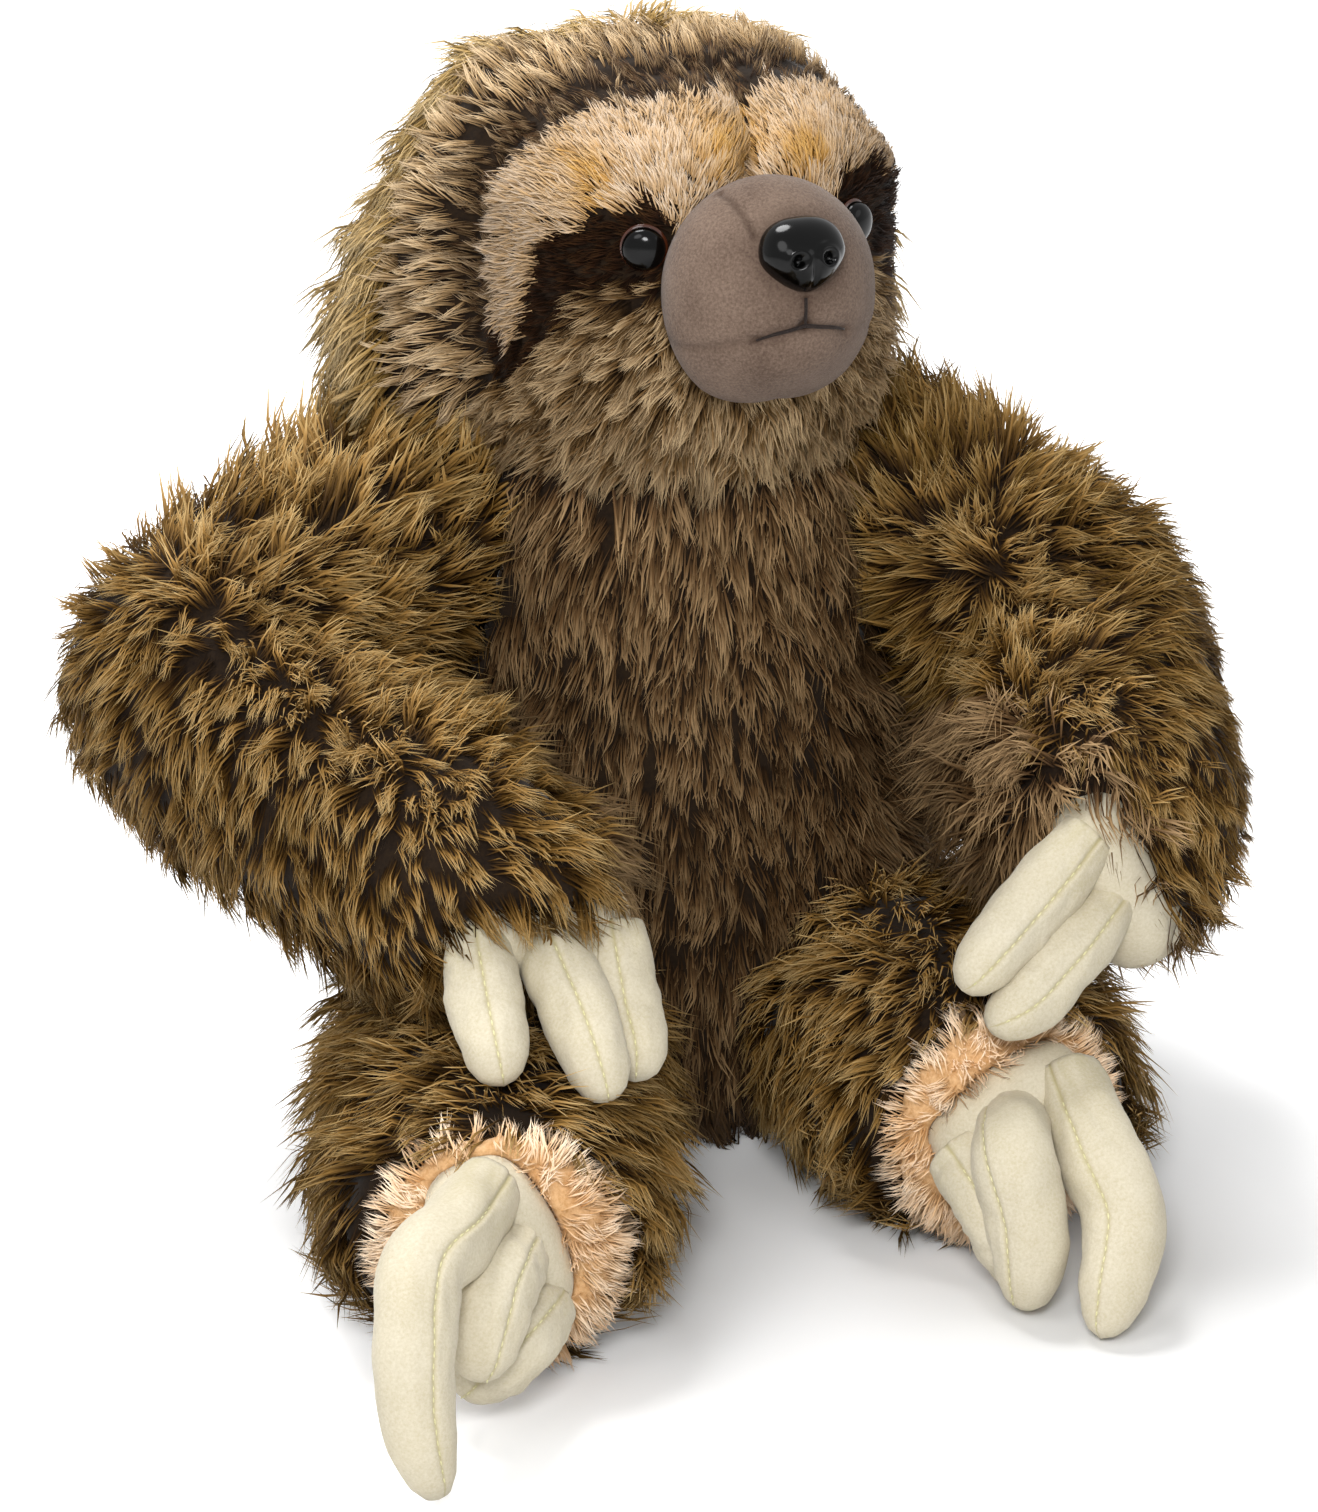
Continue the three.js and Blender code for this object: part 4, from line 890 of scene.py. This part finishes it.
def make_head():
    base = skin("head_cloth", [*FACE_NODES, "head_stuffing"], 3, 10, BACKING_IN_PAINTED_SHADE)
    attach(base, "head", [*FACE_NODES, "head_stuffing"])
    points, normals, front = fill_out_head(base.data)
    local = seen_from(HEAD_PLACE, points)
    x, y, z = local.T
    turn = np.array(HEAD_PLACE.to_3x3())
    zone = zones_of(points, FACE_NODES)
    nearest = zone.argmin(1)
    from_brow, from_crown, from_hood = zone[:, BROW], zone[:, CROWN], zone[:, HOOD]
    side, ones = np.sign(x), np.ones(len(x))
    patches, fine = mottle(points, 12, 2), mottle(points, 7, 3)

    def away_from(centre, more=(0, 0, 0)):
        ways = local - np.stack([side * centre[0], ones * centre[1], ones * centre[2]], 1)
        return along_surface((unit(ways) + more) @ turn.T, normals)

    shows = points[:, 2] > NECK_HEIGHT
    clear = shows & (np.linalg.norm((local - MUZZLE_CENTRE) / (MUZZLE_RADII - Vector((1, 1, 1))), axis=1) > 1)
    low = grade(z, 10, -40)
    behind = grade(y, 20, 45)[:, None]
    sideways = np.stack([side, 0.25 * ones, -0.15 - 0.75 * low], 1)
    hanging = along_surface(sideways @ turn.T * (1 - 0.7 * behind) + [0, 0, -0.8] * behind, normals)
    fur("hood_fur", base, "head", "long_pile", HOOD_PILE, LONG_LOCKS, 1950,
        hanging, (nearest == HOOD) * shows, 0.8 + 0.5 * low, 0.66 + 0.3 * patches - 0.6 * near(from_crown, 3),
        Length=24, Lean=0.5, Ruffle=0.16, Sway=5, Wave=18, Droop=3, Seed=21)

    # The crown's pile starts some way into the brow, darkest at its edge, and fades out past the far eye
    band = grade(from_brow - np.interp(np.abs(x), [0, 20, 45], [2, 3, 6]), 0, 5) * capped(from_hood / 4 + 0.3)
    far = grade(x, 28, 42)
    lower = np.interp(x, [-54, -46, -32, 12, 30], [-3, -1.5, 3.5, 3.5, 1])
    above_brow = (nearest == BROW) & (from_crown < 8 + lower)
    fur("crown_fur", base, "head", "crown_pile", CROWN_PILE, LONG_LOCKS, 1250,
        away_from((0, -70, 0)), ((nearest == CROWN) | above_brow) * shows, 0.75 + 0.3 * band - 0.25 * far,
        -0.05 + 0.85 * band + 0.35 * patches * (0.3 + band),
        Length=13, Lean=0.5, Ruffle=0.16, Sway=3, Wave=10, Seed=22)

    # The brow hangs over the eye patches, and has tan spots and a notch
    to_patch = np.interp(x, [-48, -38, -25, -10, 5, 20], [6, 6, 3, 1.5, 1.5, 3])
    lobe = (nearest != BROW) & (from_brow < to_patch) & front & (from_crown > 5) & (z > -20)
    brow = (nearest == BROW) & front & (from_crown > 6.5 + lower)
    notch = near(from_line(local, BROW_NOTCH), 2.6)
    tan = sum(near(np.hypot(x - spot_x, z - spot_z), TAN_RADIUS) for spot_x, spot_z in TAN_SPOTS)
    fur("brow_fur", base, "head", "brow_plush", BROW_PILE, SHORT_LOCKS, 1700,
        away_from((20, -50, 6), (0, 0, -0.25)), (brow | lobe) * clear, (1 - 0.45 * far) * (1 - 0.55 * notch),
        0.9 - 1.05 * tan * (0.8 + fine) + 0.12 * patches - 1.2 * notch,
        Length=8.5, Lean=0.62, Ruffle=0.07, Sway=2.5, Wave=8, Clump=0.2, Tuft=4, Variety=0.25, Seed=23)
    patch = (nearest == RIGHT_PATCH) | (nearest == LEFT_PATCH)
    fur("eye_patch_fur", base, "head", "patch_plush", PATCH_PILE, SHORT_LOCKS, 600,
        away_from((16, -60, 14)), patch * clear * ~lobe, ones, 0.45 + 0.4 * patches,
        Length=7, Lean=0.6, Ruffle=0.16, Sway=1.5, Wave=8, Clump=0.3, Tuft=4, Seed=24)
    fur("ruff_fur", base, "head", "ruff_pile", RUFF_PILE, LONG_LOCKS, 1500,
        away_from((0, -55, 6), (0, 0, -0.25)), (nearest == RUFF) * clear * ~lobe, 0.6 + 0.6 * low,
        0.08 + 0.45 * patches + 0.25 * fine + 0.95 * low,
        Length=17, Lean=0.52, Ruffle=0.18, Sway=5, Wave=10, Tuft=5, Variety=0.75, Seed=25)


# Muzzle, nose, mouth and eyes

MOUTH_HALVES = [
    [(side * out, MOUTH_HEIGHT - drop) for out, drop in ((0, 0), (4, 0.9), (8, 1.8), (11.8, 3.2))]
    for side in (-1, 1)
]
LIP = [(0, MOUTH_HEIGHT + 7), (0, MOUTH_HEIGHT + 3), (0, MOUTH_HEIGHT)]
DART = [(-13, 30), (-11.5, 26), (-10.5, 21)]
CHIN_SEAM = [(-26, -8), (-18, -5), MOUTH_HALVES[0][-1]]
# Each sewn line, seen from the front in the head's frame, with how deep and wide it pulls the velour in, and
# how dark and wide the painted shade in its crease is
SEWN_LINES = [
    (MOUTH_HALVES[0], 1.0, 1.6, 0.5, 1.4),
    (MOUTH_HALVES[1], 1.0, 1.6, 0.5, 1.4),
    (LIP, 0.6, 1.3, 0.5, 1.4),
    (DART, 0.9, 1.0, 0.6, 0.9),
    (CHIN_SEAM, 0.6, 1.2, 0.35, 1.1),
    ([(-x, z) for x, z in CHIN_SEAM], 0.4, 1.2, 0.15, 1.1),
]
DARKEST = 0.9
LIP_PUFF, JOWL_PUFF = 1.2, 3.5
THREAD_RADIUS, THREAD_SUNK = 0.5, 0.6


def on_muzzle(x, z, stand=0.0):
    """A point on the muzzle, seen from the front, standing proud of it, in the head's frame."""
    rx, ry, rz = MUZZLE_RADII + Vector((stand, stand, stand))
    rise = (z - MUZZLE_CENTRE.z) / rz
    return Vector((x, MUZZLE_CENTRE.y - ry * math.sqrt(max(1 - (x / rx) ** 2 - rise ** 2, 0)), z))


def beside(x, z, line, width):
    """1 on a line at a place seen from the front, and falling smoothly over a width."""
    best = 1e9
    for (x0, z0), (x1, z1) in zip(line, line[1:]):
        way = Vector((x1 - x0, z1 - z0))
        t = min(max((Vector((x, z)) - Vector((x0, z0))).dot(way) / way.length_squared, 0), 1)
        best = min(best, math.hypot(x - x0 - t * way.x, z - z0 - t * way.y))
    return math.exp(-(best / width) ** 2)


def muzzle_shape(u):
    p = MUZZLE_CENTRE + Vector(a * b for a, b in zip(u, MUZZLE_RADII))
    if u.y < 0.1:
        p -= u * sum(depth * beside(p.x, p.z, line, width) for line, depth, width, _, _ in SEWN_LINES)
        p += u * LIP_PUFF * math.exp(-((p.x / 12) ** 2 + ((p.z + 10) / 6) ** 2))
    jowl = max(-u.z, 0) * min(abs(u.x) * 1.6, 1) * math.exp(-((u.y + 0.15) / 0.4) ** 2)
    return p + Vector((u.x, 0, u.z)) * JOWL_PUFF * jowl


def make_muzzle():
    muzzle = shaped_ball("muzzle_cloth", 72, muzzle_shape, HEAD_PLACE, MUZZLE_VELOUR)
    nose = on_muzzle(0, NOSE_HEIGHT)
    # Painted shade on the velour: darker in the creases of the sewn lines and in a ring round the base of the
    # nose, at most DARKEST.
    dark = []
    for p in map(Vector, seen_from(HEAD_PLACE, points_of(muzzle.data)[0])):
        sewn = sum(shade * beside(p.x, p.z, line, width) for line, _, _, shade, width in SEWN_LINES)
        sewn += 0.45 * math.exp(-(max((p - nose).length - 9, 0) / 4) ** 2)
        dark.append(min(sewn, DARKEST) if p.y < MUZZLE_CENTRE.y + 4 else 0)
    give(muzzle.data, "painted_shade", "FLOAT", dark)
    attach(muzzle, "head", ["muzzle_panel", "chin_panel", "muzzle_stuffing"])


def thread_radius(share, _):
    return THREAD_RADIUS * (1 - 0.55 * share ** 3)


def make_mouth():
    """One thread over the lip and along each half of the mouth, thinner towards its end."""
    form = bmesh.new()
    for line in [LIP, *MOUTH_HALVES]:
        route = [on_muzzle(x, z, -THREAD_SUNK) for x, z in line]
        thread = tube("mouth_line", route, (0, 1, 0), thread_radius, MOUTH_THREAD,
                      even_angles(8), 20, HEAD_PLACE)
        form.from_mesh(thread.data)
        bpy.data.objects.remove(thread)
    mouth = piece_of("mouth_line", smooth(mesh_from(form, "mouth_line")), MOUTH_THREAD)
    attach(mouth, "head", ["mouth_stitch"])


NOSE_RADII = (10.9, 8.2, 9.2)
NOSTRIL = {"out": 4.0, "down": 2.4, "radius": 1.45, "depth": 2.4,
           "rim": 0.55, "rim_radius": 2.5, "rim_width": 0.8}


def nose_shape(u):
    """A rounded triangle, wide on top, with rimmed nostrils and a groove below them."""
    narrow = 1 - 0.42 * max(-u.z, 0) ** 1.3
    x = NOSE_RADII[0] * narrow * math.copysign(abs(u.x) ** 0.85, u.x)
    y = NOSE_RADII[1] * (1 - 0.12 * max(u.z, 0)) * u.y
    z = NOSE_RADII[2] * math.copysign(abs(u.z) ** 0.9, u.z) + 0.8 * u.x ** 2 * max(u.z, 0)
    if u.y < 0:
        for side in (-1, 1):
            far = math.hypot(x - side * NOSTRIL["out"], (z + NOSTRIL["down"]) * 1.1)
            y -= NOSTRIL["depth"] * math.exp(-(far / NOSTRIL["radius"]) ** 2) * u.y
            y += NOSTRIL["rim"] * math.exp(-((far - NOSTRIL["rim_radius"]) / NOSTRIL["rim_width"]) ** 2) * u.y
        y += 0.9 * math.exp(-(x / 0.8) ** 2) * min(max((-z - 1) / 4, 0), 1)
    return Vector((x, y, z))


def make_nose():
    place = HEAD_PLACE @ turned(on_muzzle(0, NOSE_HEIGHT), (-24, 0, 0))
    nose = shaped_ball("nose_moulding", 80, nose_shape, place, BLACK_PLASTIC)
    attach(nose, "head", ["nose"])


EYE_TURN = 29  # from the way that the head faces to the way that an eye does
EYE_RADIUS, EYE_RISE, EYE_SUNK = 5.5, 4.3, 4
IRIS_RADIUS, IRIS_HALF = 6.1, 1.5


def eye_shape(u):
    return Vector((u.x * EYE_RADIUS, -EYE_RISE * abs(u.y) ** 0.6 if u.y < 0 else u.y, u.z * EYE_RADIUS))


def iris_shape(u):
    return Vector((u.x * IRIS_RADIUS, u.y * IRIS_HALF + 0.2, u.z * IRIS_RADIUS))


def make_eyes():
    for name, side in SIDES.items():
        facing = turned((0, 0, 0), (0, 0, HEAD_TURN + side * EYE_TURN))
        out = (facing @ Vector((0, -1, 0))).normalized()
        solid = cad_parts[name + "_eye"].data
        tip = max((vertex.co for vertex in solid.vertices), key=out.dot) / MM
        place = Matrix.Translation(tip - out * EYE_SUNK) @ facing
        eye = shaped_ball(name + "_eye_dome", 32, eye_shape, place, BLACK_PLASTIC)
        iris = shaped_ball(name + "_eye_iris", 24, iris_shape, place, AMBER_PLASTIC)
        attach(eye, "head", [name + "_eye"])
        attach(iris, "head")


# Arms

# For each arm: the ridge that its pile parts along, how strongly its pile runs to the hand, how far inside
# its grey inner sleeve starts, how much shorter its pile is on the outside, how much fuller its shoulder and
# its elbow are, the tones of its upper and lower half, and how much paler its cuff is.
ARMS = {
    "right": {"ridge": [(-128, -18, 158), (-104, -70, 141), (-84, -92, 133)], "to_hand": 0.5, "inner": 0.85,
              "trim": 0.25, "shoulder": 7, "elbow": 4, "tones": (0.55, 0.5), "cuff": 0.3},
    "left": {"ridge": [(79, -36, 158), (76, -62, 134), (77, -82, 124)], "to_hand": 0.3, "inner": 0.35,
             "trim": 0.5, "shoulder": 5, "elbow": 0, "tones": (0.28, 0.34), "cuff": 0.0},
}
ROUTE_STEPS = 60
SHOULDER_BARE = 24  # the radius within which the arm has no pile, because it is sewn to the torso there


def along_route(points, route):
    """How far each point is along the route, and the way that the limb runs there."""
    knots, ways = curve_through(route, ROUTE_STEPS)
    table, runs = np.array(knots), np.array(ways)
    nearest = np.linalg.norm(points[:, None] - table[None], axis=2).argmin(1)
    return nearest / (ROUTE_STEPS - 1.0), runs[nearest]


def from_ridge(points, ridge):
    """The way from the nearest place on a line of points to each point."""
    best = np.full(len(points), 1e9)
    ways = np.zeros((len(points), 3))
    for a, b in zip(ridge, ridge[1:]):
        a, b = np.array(a, float), np.array(b, float)
        t = capped((points - a) @ (b - a) / ((b - a) @ (b - a)))
        gone = points - a - t[:, None] * (b - a)
        size = np.linalg.norm(gone, axis=1)
        nearer = size < best
        best[nearer], ways[nearer] = size[nearer], gone[nearer]
    return ways


def make_arm(name):
    arm, body, side, route = ARMS[name], name + "_arm", SIDES[name], ARM_ROUTES[name]
    nodes = [body + "_sleeve", body + "_stuffing"]
    base = skin(body + "_cloth", nodes, 3.5, 12, BACKING_IN_PAINTED_SHADE)
    attach(base, body, nodes)
    points, normals = points_of(base.data)
    share, ways = along_route(points, route)
    top = capped((0.55 - share) / 0.4) * capped(normals[:, 2])
    elbow = capped(side * normals[:, 0]) * capped(1 - np.abs(share - 0.5) / 0.35)
    points += normals * (arm["shoulder"] * top + arm["elbow"] * elbow)[:, None]

    # The pile parts at the ridge, runs away from it and swirls
    points, normals = reshaped(base.data, points)
    ahead, rise = normals[:, 1], normals[:, 2]
    gone = from_ridge(points, arm["ridge"])
    distance = np.linalg.norm(gone, axis=1)
    upper = capped(1.1 - 1.6 * share)[:, None]
    rising = np.array([0, 0, 0.6]) * upper
    to_hand = arm["to_hand"] * ways * (1 - upper)
    swirl = swirls(points, 20, (31 + side, 34 + side, 37 + side))
    comb = along_surface(unit(gone) + to_hand + rising + [0, 0, -0.2] + 0.9 * swirl, normals)
    outer = capped(side * normals[:, 0] * 1.5 - 0.3)
    parted = np.clip(distance / 22, 0.25, 1)
    crest = near(distance, 14)
    inside = (share > 0.42) & (side * normals[:, 0] < -arm["inner"]) & (points[:, 2] < 127)
    comb *= (parted * (1 - 0.45 * top) * (1 + 0.5 * outer) * np.where(inside, 0.5, 1))[:, None]

    patches = mottle(points, 20, 5 + side)
    cuff = np.interp(share, [0.8, 0.95], [0, arm["cuff"]])
    shoulder = np.linalg.norm(points - route[0], axis=1)
    on_torso = (np.abs(points[:, 0]) < 46) & (points[:, 1] > -40)
    away = np.clip(ahead * 1.2, 0, 0.5) + capped(-rise) * 0.2
    cover = ((shoulder > SHOULDER_BARE) | (points[:, 2] > 175)) & ~on_torso
    tall = (1 + 0.4 * top) * (1 - arm["trim"] * outer) * np.interp(share, [0.8, 1.0], [1.0, 0.85])
    tall = tall * np.where(inside, 1.35, 1.0) * (1 - 0.2 * crest)
    for part, finish, here, seed, count, tone in (
        ("upper_arm_fur", LONG_PILE, (share <= 0.48) & ~inside, 31, 1350, arm["tones"][0]),
        ("forearm_fur", LONG_PILE, (share > 0.48) & ~inside, 32, 1550, arm["tones"][1]),
        ("inner_sleeve_fur", BIB_PILE, inside, 33, 480, 0.8),
    ):
        fur(f"{name}_{part}", base, body, "long_pile", finish, LONG_LOCKS, count,
            comb, cover * here * (1 - away) * (1 + 0.8 * crest), tall,
            tone + 0.4 * patches + cuff + 0.25 * crest,
            Length=21, Lean=0.44, Ruffle=0.22, Sway=7, Wave=15, Droop=2, Seed=seed)


# Legs

LEG_LOCKS = {"right": 1750, "left": 1450}
LEG_TONES = {"right": 0.52, "left": 0.68}
LEG_PUFF, PUFF_FOOT = 3, 6  # outwards, and the height above the floor where it starts


def make_leg(name):
    body, side, place = name + "_leg", SIDES[name], LEG_PLACES[name]
    nodes = [body + "_sleeve", body + "_stuffing"]
    base = skin(body + "_cloth", nodes, 3.5, 12, BACKING_IN_PAINTED_SHADE)
    attach(base, body, nodes)
    points, normals = points_of(base.data)
    points += normals * LEG_PUFF * capped(side * normals[:, [0]]) * (points[:, [2]] > PUFF_FOOT)
    points, normals = reshaped(base.data, points)
    local = seen_from(place, points)
    turn = np.array(place.to_3x3())
    across = np.outer(np.clip(local[:, 0] / 12, -1, 1), turn @ [1, 0, 0])
    swirl = swirls(points, 24, (41 + side, 44 + side, 47 + side))
    comb = along_surface(across + turn @ [0, -1, 0] * 0.45 + [0, 0, -0.45] + 0.5 * swirl, normals)
    cover = (points[:, 2] > 2) & (local[:, 1] > 8 - LEG_LENGTHS[name]) & (local[:, 1] < 12)
    fur(body + "_fur", base, body, "long_pile", LONG_PILE, LONG_LOCKS, LEG_LOCKS[name],
        comb, cover * np.where(normals[:, 2] < -0.7, 0.4, 1), 1 + 0.1 * capped(side * normals[:, 0]),
        LEG_TONES[name] + 0.35 * mottle(points, 20, 9 + side),
        Length=21, Lean=0.5, Ruffle=0.18, Sway=6, Wave=15, Seed=41)


def make_sole(name):
    body = name + "_leg"
    sole = skin(name + "_sole_cloth", [name + "_sole_pad"], 2, 8, SOLE_BACKING)
    attach(sole, body, [name + "_sole_pad"])
    points, normals = points_of(sole.data)
    out = points - np.array(FOOT_PLACES[name].translation)
    comb = along_surface(out, normals) * np.clip(np.linalg.norm(out, axis=1) / 40, 0.2, 1)[:, None]
    front = seen_from(LEG_PLACES[name], points)[:, 1] < 9 - LEG_LENGTHS[name]
    fur(name + "_sole_fur", sole, body, "sole_plush", SOLE_PILE, SHORT_LOCKS, 850,
        comb, front & (points[:, 2] > 1.5), np.ones(len(points)), 0.6 + 0.6 * mottle(points, 9, 13),
        Length=9.5, Lean=0.35, Ruffle=0.2, Sway=3, Wave=9, Clump=0.4, Tuft=4, Variety=0.3, Seed=42)


# Hands and feet


def barrel_shape(sizes):
    def shape(u):
        flat = math.hypot(u.x, u.y)
        scale = sizes["radius"] * max(1 - u.z ** 2, 0) ** 0.25 / flat if flat > 1e-6 else 0
        return Vector((-u.z * sizes["half"], u.x * scale, u.y * scale))

    return shape


CLAW_SIDES, CLAW_STEPS = 48, 52
# Shares of a claw's length, with its width and thickness there as shares of its radius
CLAW_TAPER = np.array([(0.0, 0.84, 0.74), (0.2, 0.95, 0.84), (0.45, 1.0, 0.9), (0.7, 0.93, 0.85),
                       (0.85, 0.79, 0.73), (0.94, 0.56, 0.53), (0.985, 0.3, 0.29), (1.0, 0.02, 0.02)])
SEAM_ANGLE = 1.9
SEAM_CROWDING = 0.62  # draws the points round a claw together at its seam
CLAW_ANGLES = [SEAM_ANGLE + a - SEAM_CROWDING * math.sin(a) for a in even_angles(CLAW_SIDES)]
# How deep and wide the seam's groove is, and how wide the painted shade along it is.
SEAM_DEPTH, SEAM_WIDTH, SEAM_SHADE_WIDTH = 0.5, 0.7, 0.6
STITCH = {"step": 2.7, "length": 1.7, "thread": 0.42, "shares": (0.18, 0.93)}


def number_of(name):
    """A number of its own for a piece, the same each run."""
    return sum(ord(letter) * (place + 1) for place, letter in enumerate(name)) % 97


def off_seam(angle):
    return abs((angle - SEAM_ANGLE + math.pi) % (2 * math.pi) - math.pi)


def make_claw(node, sizes, along, bends, place, body):
    """A stuffed, tapering finger of velour with soft folds. Gives the points of the seam down its front."""
    length, reach, thickest = sizes["claw_length"], sizes["radius"], sizes["claw_radius"]
    start = along * sizes["half"]
    route = [(start, -reach * 0.3, reach * 0.3)]
    route += [(start + a * length, -reach - b * length, c * length) for a, b, c in bends]
    shift = Vector((number_of(node), 0, 0))

    def section(share, angle):
        wide, thick = (np.interp(share, CLAW_TAPER[:, 0], CLAW_TAPER[:, k]) * thickest for k in (1, 2))
        radius = wide * thick / math.hypot(thick * math.cos(angle), wide * math.sin(angle))
        ring = Vector((math.cos(angle), math.sin(angle), share * length / 12))
        fold = noise.noise(ring * 1.3 + shift) * 0.09 + noise.noise(ring * 3.1 + shift) * 0.04
        seam = SEAM_DEPTH * math.exp(-(off_seam(angle) * radius / SEAM_WIDTH) ** 2)
        return radius * (1 + fold * min(4 * (1 - share), 1)) - seam * min(6 * (1 - share), 1)

    claw = tube(node + "_velour", route, (1, 0, 0), section, CLAW_VELOUR, CLAW_ANGLES, CLAW_STEPS, place)
    # Painted shade: darker along the seam's crease and, near the root, in random folds.
    sewn = []
    for i in range(CLAW_STEPS):
        for j, angle in enumerate(CLAW_ANGLES):
            seam = 0.6 * math.exp(-(off_seam(angle) * thickest / SEAM_SHADE_WIDTH) ** 2)
            fold_shade = 0.5 + noise.noise(Vector((i * 0.2, j * 0.35, 0)) + shift)
            sewn.append(seam + 0.3 * max(fold_shade, 0) * max(1 - i / (0.4 * CLAW_STEPS), 0))
    give(claw.data, "painted_shade", "FLOAT", sewn)
    attach(claw, body, [node])
    return seam_points(claw.data)


def seam_points(mesh):
    """Even places along a claw's seam, in metres, each with the ways out of the velour and along the seam."""
    rings = np.array([v.co for v in mesh.vertices]).reshape(CLAW_STEPS, CLAW_SIDES, 3)
    line = rings[:, 0]
    out = unit(line - rings.mean(1))
    run = np.concatenate([[0], np.cumsum(np.linalg.norm(np.diff(line, axis=0), axis=1))])
    first, last = STITCH["shares"]
    even = np.arange(first * run[-1], last * run[-1], STITCH["step"] * MM)
    places, out = (np.stack([np.interp(even, run, rows[:, k]) for k in range(3)], 1) for rows in (line, out))
    return places, unit(out), unit(np.gradient(places, axis=0))


def make_stitch_tree():
    """A short thread at each point of a row, lying along its way and sunk a little into the cloth."""
    inputs = {"Stitch": "Object", "Length": "Float", "Thread": "Float", "Finish": "Material"}
    tree, given = new_tree("stitches", "Row", inputs, "Stitches")
    out, way = (add(tree, "GeometryNodeInputNamedAttribute", {"Name": name},
                    data_type="FLOAT_VECTOR").outputs[0] for name in ("out", "way"))
    turn = add(tree, "FunctionNodeAxesToRotation", {"Primary Axis": out, "Secondary Axis": way},
               primary_axis="Z", secondary_axis="X")
    size = add(tree, "ShaderNodeCombineXYZ", {0: given["Length"], 1: given["Thread"], 2: given["Thread"]})
    shape = add(tree, "GeometryNodeObjectInfo", {"Object": given["Stitch"]}).outputs["Geometry"]
    row = add(tree, "GeometryNodeInstanceOnPoints", {"Points": given["Row"], "Instance": shape,
                                                     "Rotation": turn.outputs[0], "Scale": size.outputs[0]})
    real = add(tree, "GeometryNodeRealizeInstances", {0: row.outputs[0]})
    dyed = add(tree, "GeometryNodeSetMaterial", {"Geometry": real.outputs[0], "Material": given["Finish"]})
    add(tree, "NodeGroupOutput", {0: dyed.outputs[0]})
    return tree


def make_thread():
    """One stitch of thread, a unit long."""
    form = bmesh.new()
    bmesh.ops.create_uvsphere(form, u_segments=8, v_segments=5, radius=0.5)
    return bpy.data.objects.new("thread", smooth(mesh_from(form, "thread")))


STITCH_TREE = make_stitch_tree()
THREAD = make_thread()


def make_stitches(name, rows, body):
    """One row of thread along each seam, from the seams' places and ways."""
    places, outs, ways = (np.concatenate(part) for part in zip(*rows))
    mesh = bpy.data.meshes.new(name)
    mesh.from_pydata([tuple(p) for p in places], [], [])
    give(mesh, "out", "FLOAT_VECTOR", outs)
    give(mesh, "way", "FLOAT_VECTOR", ways)
    made = piece_of(name, mesh, SEAM_THREAD)
    grow(made, STITCH_TREE, {"Stitch": THREAD, "Finish": SEAM_THREAD,
                             "Length": STITCH["length"] * MM, "Thread": STITCH["thread"] * MM})
    attach(made, body)


def make_hands_and_feet():
    for name in SIDES:
        for part, root, claws, sizes, places in (
            ("hand", "palm", HAND_CLAWS, PALM, HAND_PLACES),
            ("foot", "foot_root", FOOT_CLAWS, FOOT_ROOT, FOOT_PLACES),
        ):
            body, place = f"{name}_{part}", places[name]
            barrel = shaped_ball(f"{name}_{root}_velour", 32, barrel_shape(sizes), place, CLAW_VELOUR)
            attach(barrel, body, [f"{name}_{root}"])
            seams = [make_claw(f"{body}_claw_{i + 1}", sizes, along, bends, place, body)
                     for i, (along, bends) in enumerate(claws[name])]
            make_stitches(body + "_stitches", seams, body)


def finish_washers():
    """The lock washers inside the head keep their solids and get their plastic."""
    for name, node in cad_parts.items():
        if name.endswith("washer"):
            node.data.materials.clear()
            node.data.materials.append(WASHER_PLASTIC)


make_camera()
make_studio()
make_torso()
make_head()
make_muzzle()
make_mouth()
make_nose()
make_eyes()
for side_name in SIDES:
    make_arm(side_name)
    make_leg(side_name)
    make_sole(side_name)
make_hands_and_feet()
finish_washers()
